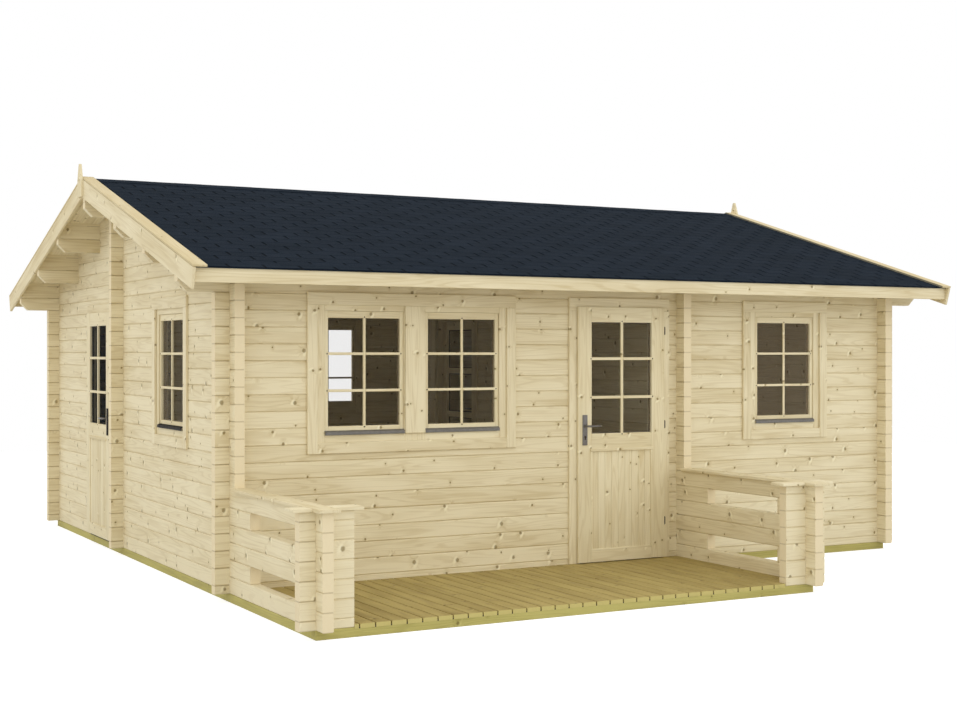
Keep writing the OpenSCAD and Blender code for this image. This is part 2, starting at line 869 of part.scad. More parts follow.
module door_pane() {
    g = leaf_w / 2 - door_stile - fit;
    span([-g, -lip_y, door_glass_z0 + fit], [g, glass_t - lip_y, door_glass_z1 - fit]);
}

// Leaf of the partition's door with panes one over the other
inner_step = inner_pane + inner_bar;

module inner_leaf() {
    g = leaf_w / 2 - door_stile;
    difference() {
        door_slab();
        for (i = [1:inner_panes]) {
            z = door_glass_z1 + inner_bar - i * inner_step;
            span([-g, -lip_y - lip_t - cut, z], [g, core_t, z + inner_pane]);
        }
    }
}

module inner_panes_glass() {
    g = leaf_w / 2 - door_stile - fit;
    for (i = [1:inner_panes]) {
        z = door_glass_z1 + inner_bar - i * inner_step;
        span([-g, -lip_y, z + fit], [g, glass_t - lip_y, z + inner_pane - fit]);
    }
}

// Handle plate with its lever, standing on a face at y = 0 that looks to -Y
module handle() {
    u = plate_in - leaf_w / 2;
    z = floor_z + plate_z;
    union() {
        span([u - plate_w / 2, -plate_t, z - plate_h2 / 2], [u + plate_w / 2, 0, z + plate_h2 / 2]);
        translate([u, fit - plate_t, z + lever_up]) rotate([90, 0, 0])
            cylinder(h = lever_out, d = lever_d, $fn = 32);
        translate([u - lever_d / 2, -plate_t - lever_out, z + lever_up]) rotate([0, 90, 0])
            cylinder(h = lever_l, d = lever_d, $fn = 32);
    }
}

// Handles on both faces of a leaf, and the leaf's halves of the hinges
module door_metal() {
    translate([0, -lip_y - lip_t, 0]) handle();
    translate([0, core_t - lip_y, 0]) mirror([0, 1, 0]) handle();
    for (hz = [hinge_z1, hinge_z2, hinge_z3]) union() {
        translate([hinge_u, -hinge_v, floor_z + hz + fit]) cylinder(h = hinge_l, r = hinge_r, $fn = 32);
        span([leaf_w / 2, -hinge_v - sill_t, floor_z + hz + fit], [hinge_u, -hinge_v, floor_z + hz + hinge_l]);
    }
}

// The frame's halves of the hinges, on the trim
module hinge_halves() {
    for (hz = [hinge_z1, hinge_z2, hinge_z3]) union() {
        translate([hinge_u, -hinge_v, floor_z + hz - hinge_l]) cylinder(h = hinge_l, r = hinge_r, $fn = 32);
        span([hinge_u - sill_t / 2, -hinge_v, floor_z + hz - hinge_l], [hinge_u + sill_t / 2, -trim_t, floor_z + hz]);
    }
}

module at_front_door() {
    translate([door_x, 0, 0]) children();
}

module at_side_door() {
    translate([0, side_y, 0]) rotate([0, 0, -90]) mirror([1, 0, 0]) children();
}

module at_inner_door() {
    translate([part_x1, inner_y, 0]) rotate([0, 0, 90]) children();
}

// Trim on the back of the partition's door frame
module back_trim() {
    i = door_half - trim_cover;
    w = inner_trim_w;
    zt = win_z1 + trim_lap;
    zi = core_top + jamb_w - trim_cover;
    for (m = [0, 1]) mirror([m, 0, 0])
        span([i, log_t + fit, floor_z + fit], [i + w, log_t + trim_t, zi - fit]);
    span([-i - w, log_t + fit, zi], [i + w, log_t + trim_t, zt]);
}

module door_hinges() {
    color([0.35, 0.36, 0.40]) seat() {
        at_front_door() hinge_halves();
        at_side_door() hinge_halves();
        at_inner_door() hinge_halves();
    }
}

module front_door_frame() {
    color([0.86, 0.79, 0.62]) seat() at_front_door() door_frame_parts();
}

module front_door_leaf() {
    color([0.88, 0.82, 0.66]) seat() at_front_door() door_leaf();
}

module front_door_glass() {
    color([0.30, 0.27, 0.20, 0.5]) seat() at_front_door() door_pane();
}

module front_door_hardware() {
    color([0.35, 0.36, 0.40]) seat() at_front_door() door_metal();
}

module side_door_frame() {
    color([0.86, 0.79, 0.62]) seat() at_side_door() door_frame_parts();
}

module side_door_leaf() {
    color([0.88, 0.82, 0.66]) seat() at_side_door() door_leaf();
}

module side_door_glass() {
    color([0.30, 0.27, 0.20, 0.5]) seat() at_side_door() door_pane();
}

module side_door_hardware() {
    color([0.35, 0.36, 0.40]) seat() at_side_door() door_metal();
}

module inner_door_frame() {
    color([0.86, 0.79, 0.62]) seat() at_inner_door() {
        door_frame_parts();
        back_trim();
    }
}

module inner_door_leaf() {
    color([0.88, 0.82, 0.66]) seat() at_inner_door() inner_leaf();
}

module inner_door_glass() {
    color([0.30, 0.27, 0.20, 0.5]) seat() at_inner_door() inner_panes_glass();
}

module inner_door_hardware() {
    color([0.35, 0.36, 0.40]) seat() at_inner_door() door_metal();
}

foundation_beams();
house_floor();
terrace_deck();
front_wall_left();
front_wall_right();
front_wall_head();
left_wall_front();
left_wall_back();
left_gable();
right_wall();
back_wall();
cross_wall();
partition_front();
partition_back();
partition_head();
rail_left();
rail_right();
rail_corners();
rail_caps();
ridge_purlin();
purlins();
roof_boards_front();
roof_boards_back();
roof_covering_front();
roof_covering_back();
barge_boards();
barge_covers();
finials();
eave_fascias();
window_frames();
window_sashes();
window_glass();
window_sills();
door_hinges();
front_door_frame();
front_door_leaf();
front_door_glass();
front_door_hardware();
side_door_frame();
side_door_leaf();
side_door_glass();
side_door_hardware();
inner_door_frame();
inner_door_leaf();
inner_door_glass();
inner_door_hardware();
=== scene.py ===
"""Looks of a log cabin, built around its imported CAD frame.

Lengths are millimetres in the house frame, unless a comment says otherwise: X along the ridge from the left
wall's outer face, Y to the back from the front wall's outer face, Z up from the ground.
"""

import math
import random

import bmesh
import bpy
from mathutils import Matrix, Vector


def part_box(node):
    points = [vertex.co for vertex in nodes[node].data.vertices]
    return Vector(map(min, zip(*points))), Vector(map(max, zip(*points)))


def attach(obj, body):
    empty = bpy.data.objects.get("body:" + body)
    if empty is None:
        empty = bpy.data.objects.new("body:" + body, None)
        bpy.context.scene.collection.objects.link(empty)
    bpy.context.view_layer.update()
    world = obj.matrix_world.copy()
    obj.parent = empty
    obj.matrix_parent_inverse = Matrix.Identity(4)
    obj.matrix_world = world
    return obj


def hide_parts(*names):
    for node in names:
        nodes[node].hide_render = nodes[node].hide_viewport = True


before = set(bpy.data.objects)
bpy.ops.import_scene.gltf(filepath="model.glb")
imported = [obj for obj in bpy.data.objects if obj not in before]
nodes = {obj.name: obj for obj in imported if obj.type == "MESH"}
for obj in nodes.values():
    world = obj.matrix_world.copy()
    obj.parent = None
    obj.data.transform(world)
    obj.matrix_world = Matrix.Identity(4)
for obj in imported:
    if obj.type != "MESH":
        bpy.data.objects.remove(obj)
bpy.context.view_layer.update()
rng = random.Random(7)
MM = 0.001

# Small clearances: boards lying on each other, butted ends, trim joints and panes in their rebates
PLAY = 0.3
BUTT = 1.0
TRIM_GAP = 0.5
PANE_PLAY = 0.5

# Walls, floor and terrace, as in the CAD source
LENGTH = 5756.0
WIDTH = 4998.0
MID = WIDTH / 2
LOG = 70.0
COURSE = 114.0
BEAM = 57.0
BEAM_W = 100.0
FLOOR = 76.0
TERRACE = 1502.0
PART_X = 3615.0
PART_X1 = PART_X + LOG
CROSS_Y = 2637.0
CROSS_END = 1700.0
LOG_END = 100.0
CORNER_IN = 170.0
CENTRE_Y = -1000.0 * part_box("front_wall_left")[0].y
DECK_PITCH = 102.2
DECK_GAP = 8.5
DECK_FIRST = 170.8
DECK_LEAST = 20.0
DECK_LAP = 8.0
FLOOR_PITCH = 114.0
FLOOR_GAP = 0.8
CAP_Z = BEAM + 6 * COURSE
CAP_T = 20.0
CAP_OVER = 32.0
CAP_END = 50.0
CAP_GAP = 0.6

# Roof: lengths ending in _S run down the slope from the ridge
PITCH = math.radians(16.4)
COS = math.cos(PITCH)
SIN = math.sin(PITCH)
TAN = math.tan(PITCH)
WALL_TOP = 2229.0
RIDGE = BEAM + WALL_TOP + MID * TAN
BOARD = 15.0
COVERING = 4.0
ROOF_TOP = BOARD + COVERING
GABLE_OVER = 353.0
ROOF_X0 = -GABLE_OVER
ROOF_X1 = LENGTH + GABLE_OVER
EAVE_OVER = 354.0
ROOF_S = (MID + EAVE_OVER) / COS
EAVE_S = ROOF_S + COVERING
BARGE_S = ROOF_S + 36.0
BARGE_T = 20.0
BARGE_H = 145.0
BARGE_LOW = 3.0
COVER_W = 93.0
COVER_T = 15.0
# thickness of the painted-shade strip at the cover boards
SHADE_STRIP_T = 1.6
FASCIA_H = 94.0
FASCIA_UP = 7.0
FASCIA_Y = MID + 350.0
BOARD_S = (FASCIA_Y - BARGE_T - PLAY - BOARD * SIN) / COS
ROOF_BOARDS = 66
FIN_W = 112.0
FIN_TIP = 22.0
FIN_UP = 112.0

# Shingles: rows of tabs, with ridge tabs over the uppermost
EXPOSURE = 119.0
HEADLAP = 28.0
TAB_W = 248.5
TAB_SLOT = 15.0
TAB_T = 2.2
TAB_LIFT = 0.9
TAB_LEAST = 12.0
TAB_STARTS = (-127.0, -6.0)
BUTT_FIRST = 2902.0
BUTT_LAST = 60.0
BUTT_ROWS = 25
RIDGE_TABS = 29
RIDGE_PITCH = 220.0
RIDGE_L = 226.0
RIDGE_S = 120.0
RIDGE_T = 2.5
RIDGE_STEP = 0.6
RIDGE_IN = 6.0

# Windows
TWIN_X = 1359.0
TWIN_PITCH = 763.0
RIGHT_X = 4690.0
LEFT_Y = 1329.0
BACK_X = 2774.0
WIN_Z0 = BEAM + COURSE / 2 + 8 * COURSE
WIN_Z1 = BEAM + COURSE / 2 + 17 * COURSE
SASH_HALF = 300.0
SASH_Z0 = WIN_Z0 + 61.0
SASH_Z1 = WIN_Z1 - 115.0
SASH_IN = 10.0
SASH_T = 45.0
STILE = 29.0
SASH_RAIL = 59.0
SASH_HEAD = 47.0
GLASS_IN = 14.0
PANE_Y = SASH_IN + GLASS_IN
PANE_T = 4.0
GLASS_Z0 = SASH_Z0 + SASH_RAIL
GLASS_Z1 = SASH_Z1 - SASH_HEAD
GLASS_U = SASH_HALF - STILE
WINDOW_BARS_Z = (1644.0, 1390.0)
BAR_W = 19.0
BAR_LAP = 15.0
BAR_RISE = 2.0
SEAL_T = 1.6
FRAME_W = 60.0
TRIM_T = 18.0
TRIM_W = 75.0
TRIM_HEAD = 86.0
TRIM_FOOT = 75.0
TRIM_OVER = 11.0
TRIM_LAP = 7.5
FOOT_LAP = 10.0
OPEN_HALF = SASH_HALF + FRAME_W + 1.0 + 11.0 / 3
SILL_H = 30.0
SILL_REACH = 14.0
SILL_T = 3.0
SILL_FALL = SILL_H / 3

# Doors: a leaf is a lip over a core, u runs across it and out is towards the lip's side
FRONT_DOOR_X = 3084.0
SIDE_DOOR_Y = 3311.0
INNER_DOOR_Y = 3730.0
LEAF_HALF = 390.5
CORE_HALF = 360.5
LEAF_Z0 = 82.0
LEAF_Z1 = 1993.0
CORE_DROP = 30.0
LIP_Y = 23.0
LIP_T = 17.0
CORE_T = 38.0
LEAF_FRONT = -LIP_Y - LIP_T
LEAF_BACK = CORE_T - LIP_Y
GLASS_HALF = 271.5
DOOR_PANE = (1045.0, 1880.0)
DOOR_BARS_Z = (1606.0, 1316.0)
DOOR_BAR_W = 22.0
DOOR_SEAL = 9.0
INNER_RAIL = 55.0
INNER_PITCH = 436.0
PANEL_Z0 = 173.0
PANEL_Z1 = 925.0
PANEL_BOARDS = 9
PANEL_IN = 5.0
PLATE_U = 57.0 - LEAF_HALF
PLATE_Z = FLOOR + 997.0
PLATE_HALF_W = 20.5
PLATE_HALF_H = 113.0
PLATE_T = 8.0
LEVER_UP = 30.0
KEY_DOWN = 50.0
KEY_OUT = 11.0
JAMB_PLAY = 6.0
JAMB_W = 34.0
DOOR_TRIM_W = 87.0
INNER_TRIM_W = 100.0
SILL_LIP = 9.0
SILL_BACK = 30.0
STRIP_TOP = 14.0
HINGES_Z = (361.0, 1101.0, 1819.0)
HINGE_U = 397.5
HINGE_V = 31.5
HINGE_L = 27.0
HINGE_R = 7.0
HINGE_TIP = 4.0
HINGE_TIP_R = (5.5, 3.5)

# Light and camera, the camera as fitted to the photograph's frame
GROUND = 14.0
GROUND_GREY = 0.64
GROUND_GLOW = 0.65
SKY_LIGHT = 1.12
SKY_SEEN = 1.0
SUN_POWER = 0.15
SUN_SPREAD = math.radians(30.0)
SUN_TINT = (1.0, 0.985, 0.95)
SUN_FROM = Vector((0.5, -0.75, 0.42))
PHOTO_W = 957.0
SENSOR = 36.0
FOCAL_PX = 1492.66
SHIFT_PX = -5.4
CAMERA_AT = (-3243.5, -9463.0, 1648.1)
CAMERA_TURN = -0.495484
CAMERA_FAR = 200.0


def to_row(p):
    """House millimetres to the row's metres."""
    return Vector(((p[0] - LENGTH / 2) * MM, (p[1] - CENTRE_Y) * MM, p[2] * MM))


def srgb(r, g, b):
    """Display colour 0 to 255 as linear RGBA."""
    out = []
    for c in (r, g, b):
        c = c / 255.0
        out.append(c / 12.92 if c <= 0.04045 else ((c + 0.055) / 1.055) ** 2.4)
    return (*out, 1.0)


def add_object(name, data):
    """New object that holds the data, linked to the scene."""
    obj = bpy.data.objects.new(name, data)
    bpy.context.scene.collection.objects.link(obj)
    return obj


# Node helpers


def feed(tree, socket, value):
    """Link a socket to the input, or set the input's own value."""
    if isinstance(value, bpy.types.NodeSocket):
        tree.links.new(value, socket)
    else:
        socket.default_value = value


def add_node(tree, kind, inputs=None, **props):
    n = tree.nodes.new(kind)
    for key, value in props.items():
        setattr(n, key, value)
    for key, value in (inputs or {}).items():
        feed(tree, n.inputs[key], value)
    return n


def calc(tree, op, a, b=0.0, clamp=False):
    return add_node(tree, "ShaderNodeMath", {0: a, 1: b}, operation=op, use_clamp=clamp).outputs[0]


def vmath(tree, op, a, b=(0.0, 0.0, 0.0)):
    n = add_node(tree, "ShaderNodeVectorMath", {0: a, 1: b}, operation=op)
    return n.outputs["Value"] if op == "LENGTH" else n.outputs[0]


def scale_by(tree, v, s):
    return add_node(tree, "ShaderNodeVectorMath", {0: v, "Scale": s}, operation="SCALE").outputs[0]


def xyz(tree, x, y, z):
    return add_node(tree, "ShaderNodeCombineXYZ", {0: x, 1: y, 2: z}).outputs[0]


def split(tree, v):
    return add_node(tree, "ShaderNodeSeparateXYZ", {0: v}).outputs


def mix(tree, fac, a, b):
    """Colour from a to b; the mix node's inputs 0, 6 and 7 are its factor and two colours."""
    return add_node(tree, "ShaderNodeMix", {0: fac, 6: a, 7: b}, data_type="RGBA").outputs[2]


def remap(tree, v, a, b, c=0.0, d=1.0, smooth=False):
    n = add_node(tree, "ShaderNodeMapRange", {0: v, 1: a, 2: b, 3: c, 4: d})
    n.interpolation_type = "SMOOTHSTEP" if smooth else "LINEAR"
    return n.outputs[0]


def noise(tree, v, scale, detail=2.0, rough=0.5, warp=0.0):
    n = add_node(tree, "ShaderNodeTexNoise", {"Vector": v, "Scale": scale, "Detail": detail,
                                              "Roughness": rough, "Distortion": warp})
    return n.outputs[0]


def object_place(tree):
    return add_node(tree, "ShaderNodeTexCoord").outputs["Object"]


def stored(tree, name, output):
    return add_node(tree, "ShaderNodeAttribute", attribute_name=name).outputs[output]


def faces_along(tree, axis):
    """1 where the surface faces along an axis, as a sawn end does."""
    normal = split(tree, add_node(tree, "ShaderNodeNewGeometry").outputs["True Normal"])
    return calc(tree, "GREATER_THAN", calc(tree, "ABSOLUTE", normal[axis]), 0.8)


def new_material(name):
    m = bpy.data.materials.new(name)
    m.use_nodes = True
    t = m.node_tree
    return m, t, t.nodes["Principled BSDF"]


def bump(tree, bsdf, height, strength, distance):
    n = add_node(tree, "ShaderNodeBump", {"Height": height, "Strength": strength, "Distance": distance})
    tree.links.new(n.outputs[0], bsdf.inputs["Normal"])


# Materials


def wood_grain(tree, bsdf, co, offset, tint, tones, knots, wear=0.25, cell=(0.36, 0.10), big=0.019):
    """Softwood: co in metres along the grain, across the wide face and through it; tint lies about 0.

    knots is the share of cells with a knot, cell a cell's size and big the largest knot's radius.
    """
    light, dark, knot, pale = tones
    p = vmath(tree, "ADD", co, offset)
    s = split(tree, p)
    q = xyz(tree, calc(tree, "DIVIDE", s[0], cell[0]),
            calc(tree, "DIVIDE", calc(tree, "ADD", s[1], s[2]), cell[1]), 0.0)
    vor = add_node(tree, "ShaderNodeTexVoronoi", {"Vector": q, "Scale": 1.0, "Randomness": 0.95},
                   voronoi_dimensions="2D")
    away = vmath(tree, "MULTIPLY", vmath(tree, "SUBTRACT", q, vor.outputs["Position"]), (*cell, 0.0))
    pick = split(tree, vor.outputs["Color"])
    some = calc(tree, "LESS_THAN", pick[0], knots)
    radius = remap(tree, calc(tree, "POWER", pick[1], 1.6), 0.0, 1.0, 0.0062, big)
    # a knot is a little longer across the grain, with an uneven rim
    lean = vmath(tree, "MULTIPLY", away, (1.05, 0.92, 0.0))
    rim = remap(tree, noise(tree, p, 90.0), 0.3, 0.7, -0.002, 0.002)
    dist = calc(tree, "ADD", vmath(tree, "LENGTH", lean), rim)
    near = calc(tree, "DIVIDE", dist, radius)
    core = calc(tree, "MULTIPLY", remap(tree, near, 0.45, 1.1, 1.0, 0.0, True), some)
    core = calc(tree, "MULTIPLY", core, remap(tree, pick[1], 0.2, 1.0, 0.95, 0.7))
    halo = calc(tree, "MULTIPLY", remap(tree, near, 0.9, 3.6, 1.0, 0.0, True), some)
    # larger knots have a pale flare on one side
    side = remap(tree, calc(tree, "GREATER_THAN", pick[2], 0.5), 0.0, 1.0, -0.016, 0.016)
    tilted = add_node(tree, "ShaderNodeVectorRotate", {"Vector": away, "Angle": 0.45},
                      rotation_type="Z_AXIS").outputs[0]
    beside = vmath(tree, "ADD", tilted, xyz(tree, side, 0.008, 0.0))
    beside = vmath(tree, "LENGTH", vmath(tree, "MULTIPLY", beside, (1.5, 0.65, 0.0)))
    flare = remap(tree, calc(tree, "DIVIDE", beside, radius), 0.5, 1.8, 1.0, 0.0, True)
    strong = remap(tree, pick[1], 0.2, 0.7, 0.0, 0.8)
    flare = calc(tree, "MULTIPLY", flare, calc(tree, "MULTIPLY", some, strong))
    # the grain bends round knots: year rings, fine fibres and broad clouds of tone
    bent = vmath(tree, "ADD", p, scale_by(tree, away, calc(tree, "MULTIPLY", halo, 1.2)))
    broad = noise(tree, vmath(tree, "MULTIPLY", bent, (0.55, 9.0, 9.0)), 1.0, 2.0, 0.45, 0.35)
    rings = calc(tree, "SINE", calc(tree, "MULTIPLY", broad, 75.0))
    rings = remap(tree, rings, 0.1, 1.0, 0.0, 1.0, True)
    fine = noise(tree, vmath(tree, "MULTIPLY", bent, (5.0, 260.0, 260.0)), 1.0, 2.0, 0.6)
    cloud = noise(tree, vmath(tree, "MULTIPLY", p, (1.6, 9.0, 9.0)), 1.0, 2.0)
    amount = calc(tree, "MULTIPLY", rings, 0.30)
    amount = calc(tree, "ADD", amount, remap(tree, fine, 0.3, 0.7, -0.10, 0.14))
    amount = calc(tree, "ADD", amount, remap(tree, cloud, 0.3, 0.7, -0.10, 0.42))
    amount = calc(tree, "ADD", amount, calc(tree, "MULTIPLY", halo, 0.3))
    amount = calc(tree, "ADD", amount, tint, clamp=True)
    colour = mix(tree, amount, light, dark)
    colour = mix(tree, flare, colour, pale)
    colour = mix(tree, calc(tree, "MULTIPLY", core, 0.9), colour, knot)
    tree.links.new(colour, bsdf.inputs["Base Color"])
    tree.links.new(remap(tree, rings, 0.0, 1.0, 0.70, 0.58), bsdf.inputs["Roughness"])
    height = calc(tree, "ADD", calc(tree, "MULTIPLY", rings, 0.6), fine)
    height = calc(tree, "ADD", height, calc(tree, "MULTIPLY", core, 0.3))
    bump(tree, bsdf, height, wear, 0.0012)
    bsdf.inputs["Specular IOR Level"].default_value = 0.2
    return colour


# Tones of a wood: light, dark, knot and the pale flare at a knot
SPRUCE = (srgb(236, 224, 189), srgb(207, 189, 145), srgb(108, 86, 14), srgb(247, 237, 204))
JOINERY = (srgb(235, 223, 187), srgb(209, 191, 146), srgb(108, 86, 14), srgb(247, 237, 204))
TREATED = (srgb(193, 183, 110), srgb(158, 147, 78), srgb(104, 90, 44), srgb(203, 194, 122))
DECKING = (srgb(182, 163, 102), srgb(141, 121, 67), srgb(96, 80, 42), srgb(190, 172, 112))
LOG_END_TONES = (srgb(238, 223, 187), srgb(224, 206, 163))
# colour of the painted shade in the seams between log courses
SEAM_SHADE_TONE = srgb(138, 116, 72)


def log_material(name, axis, seam_z, tone=0.0):
    """Logs kept from the CAD: each course of each wall gets its own grain from its height and place."""
    m, t, bsdf = new_material(name)
    co = object_place(t)
    s = split(t, co)
    along, across = (s[0], s[1]) if axis == 0 else (s[1], s[0])
    level = calc(t, "DIVIDE", calc(t, "SUBTRACT", s[2], seam_z), COURSE * MM)
    course = calc(t, "FLOOR", level)
    wall = calc(t, "FLOOR", calc(t, "DIVIDE", calc(t, "ADD", across, 10.0 + LOG * MM), 0.37))
    seed = add_node(t, "ShaderNodeTexWhiteNoise", {"Vector": xyz(t, course, wall, 0.0)})
    offset = scale_by(t, seed.outputs["Color"], 40.0)
    tint = remap(t, seed.outputs["Value"], 0.0, 1.0, tone - 0.16, tone + 0.16)
    grain = wood_grain(t, bsdf, xyz(t, along, s[2], across), offset, tint, SPRUCE, 0.74)
    # log ends show weak rings about a pith of their own in place of long grain
    end = faces_along(t, axis)
    pith = scale_by(t, seed.outputs["Color"], 0.09)
    ring_p = vmath(t, "ADD", xyz(t, 0.0, across, calc(t, "MODULO", s[2], COURSE * MM)), pith)
    wobble = scale_by(t, xyz(t, noise(t, co, 9.0), noise(t, co, 11.0), 0.0), 0.03)
    r = vmath(t, "LENGTH", vmath(t, "ADD", ring_p, wobble))
    bands = calc(t, "SINE", calc(t, "MULTIPLY", r, 2 * math.pi / 0.0052))
    colour = mix(t, end, grain, mix(t, remap(t, bands, -0.4, 1.0, 0.0, 0.75), *LOG_END_TONES))
    # painted shade in the seams between courses, strongest on the ends and the stubs past a crossing
    off = calc(t, "ABSOLUTE", calc(t, "SUBTRACT", calc(t, "FRACT", calc(t, "ADD", level, 0.5)), 0.5))
    if axis == 0:
        past = calc(t, "SUBTRACT", calc(t, "ABSOLUTE", along), LENGTH / 2 * MM)
    else:
        middle = calc(t, "ABSOLUTE", calc(t, "ADD", along, (CENTRE_Y - MID) * MM))
        past = calc(t, "SUBTRACT", middle, MID * MM)
    stub = calc(t, "MULTIPLY", calc(t, "GREATER_THAN", past, 0.0), calc(t, "LESS_THAN", past, 0.11))
    strength = remap(t, calc(t, "MAXIMUM", stub, end), 0.0, 1.0, 0.1, 0.34)
    seam_shade = calc(t, "MULTIPLY", remap(t, off, 1.5 / COURSE, 6.5 / COURSE, 1.0, 0.0, True), strength)
    t.links.new(mix(t, seam_shade, colour, SEAM_SHADE_TONE), bsdf.inputs["Base Color"])
    return m


def board_material(name, tones, knots, wear=0.25, lit_end_colour=None):
    """Boards made below: the grain follows each board's own stored coordinates.

    lit_end_colour is the colour of ends that face along Y, lighter as painted light on the faces towards
    the light.
    """
    m, t, bsdf = new_material(name)
    co = stored(t, "grain", "Vector")
    tint = stored(t, "tint", "Fac")
    grain = wood_grain(t, bsdf, co, (0.0, 0.0, 0.0), tint, tones, knots, wear, (0.21, 0.075), 0.0145)
    if lit_end_colour:
        # ends facing along Y get the lighter colour: painted light
        end = calc(t, "MULTIPLY", faces_along(t, 1), 0.8)
        t.links.new(mix(t, end, grain, lit_end_colour), bsdf.inputs["Base Color"])
    return m


def shingle_material(name, base, tip):
    """Gritted bitumen with its own tone on each tab."""
    m, t, bsdf = new_material(name)
    co = object_place(t)
    tint = stored(t, "tint", "Fac")
    grit = noise(t, co, 900.0, 2.0, 0.7)
    cloud = noise(t, co, 3.5, 2.0)
    amount = calc(t, "ADD", remap(t, grit, 0.35, 0.7, 0.0, 0.6), remap(t, cloud, 0.3, 0.7, -0.15, 0.2))
    amount = calc(t, "ADD", amount, tint, clamp=True)
    t.links.new(mix(t, amount, base, tip), bsdf.inputs["Base Color"])
    bsdf.inputs["Roughness"].default_value = 0.9
    bsdf.inputs["Specular IOR Level"].default_value = 0.05
    bump(t, bsdf, grit, 0.4, 0.002)
    return m


def metal_material(name, colour, rough, metallic, gloss=0.5):
    """Metal, rubber, and the dark sheets and strips of painted shade or reflection, with uneven tone and
    sheen.
    """
    m, t, bsdf = new_material(name)
    co = object_place(t)
    speck = noise(t, co, 60.0, 3.0)
    dark = tuple(c * 0.8 for c in colour[:3]) + (1.0,)
    t.links.new(mix(t, remap(t, speck, 0.35, 0.65), dark, colour), bsdf.inputs["Base Color"])
    sheen = remap(t, noise(t, co, 25.0, 2.0), 0.3, 0.7, rough - 0.06, rough + 0.08)
    t.links.new(sheen, bsdf.inputs["Roughness"])
    bsdf.inputs["Metallic"].default_value = metallic
    bsdf.inputs["Specular IOR Level"].default_value = gloss
    return m


def glass_material(name, colour, alpha, gloss=0.5):
    """Pane that lets the daylight in; light passes its film of colour on both faces."""
    m, _, bsdf = new_material(name)
    bsdf.inputs["Base Color"].default_value = colour
    bsdf.inputs["Roughness"].default_value = 0.03
    bsdf.inputs["Alpha"].default_value = alpha
    bsdf.inputs["Specular IOR Level"].default_value = gloss
    m.surface_render_method = "BLENDED"
    return m


mat_log_x = log_material("logs_along_x", 0, (BEAM + COURSE / 2) * MM)
mat_log_y = log_material("logs_along_y", 1, BEAM * MM)
mat_corner = log_material("corner_logs", 0, (BEAM + COURSE / 2) * MM, -0.3)
mat_joinery = board_material("joinery_spruce", JOINERY, 0.34)
mat_trim = board_material("trim_spruce", SPRUCE, 0.5)
mat_edge = board_material("roof_edge_spruce", SPRUCE, 0.14)
mat_beam = board_material("treated_beam", TREATED, 0.12, 0.4)
mat_deck = board_material("treated_deck", DECKING, 0.2, 0.4, srgb(207, 194, 122))
mat_floor = board_material("floor_spruce", SPRUCE, 0.4)
mat_shingle = shingle_material("bitumen_shingle", srgb(20, 30, 40), srgb(31, 41, 53))
# near black, as painted shade in the slots between tabs
mat_underlay_shade = shingle_material("underlay_painted_shade", srgb(5, 8, 11), srgb(10, 14, 18))
mat_glass = glass_material("window_glass", srgb(140, 128, 104), 0.05)
# pale glass: painted light of the lit room behind the right window
mat_lit_room_glass = glass_material("right_pane_painted_light", srgb(212, 190, 154), 0.077)
# dark glass: painted shade of the unlit room behind the side door
mat_dark_room_glass = glass_material("side_door_glass_painted_shade", srgb(46, 50, 54), 0.32, 0.0)
mat_sill = metal_material("sill_sheet", srgb(118, 115, 110), 0.45, 0.3)
mat_metal = metal_material("door_metal", srgb(122, 118, 114), 0.4, 0.5)
mat_pin = metal_material("bar_pin", srgb(58, 44, 32), 0.5, 0.2)
mat_hinge = metal_material("hinge_metal", srgb(74, 66, 56), 0.5, 0.3)
# seals behind the panes are coloured dark: painted shade on the reveals behind the glass
mat_door_seal_shade = metal_material("door_seal_painted_shade", srgb(92, 81, 62), 0.8, 0.0)
mat_window_seal_shade = metal_material("window_seal_painted_shade", srgb(136, 121, 94), 0.8, 0.0)
# near black metal: painted dark reflection on the left gable's sill and the side door's plates
mat_dark_reflection = metal_material("metal_painted_dark_reflection", srgb(40, 36, 34), 0.6, 0.0, 0.1)
mat_cover_edge_shade = metal_material("cover_edge_painted_shade", srgb(138, 131, 109), 0.9, 0.0)
# near black, as painted shade in gaps
mat_shade_strip = metal_material("threshold_painted_shade", srgb(40, 36, 30), 0.8, 0.0)


# Mesh helpers

# Faces of a block whose eight points run along x, then y, then z
BOX_FACES = ((0, 2, 3, 1), (4, 5, 7, 6), (0, 1, 5, 4), (2, 6, 7, 3), (0, 4, 6, 2), (1, 3, 7, 5))


def prism_faces(count):
    """Faces of a prism whose points are one outline, then the other."""
    faces = [tuple(range(count)), tuple(range(2 * count - 1, count - 1, -1))]
    faces += [(k, count + k, count + (k + 1) % count, (k + 1) % count) for k in range(count)]
    return faces


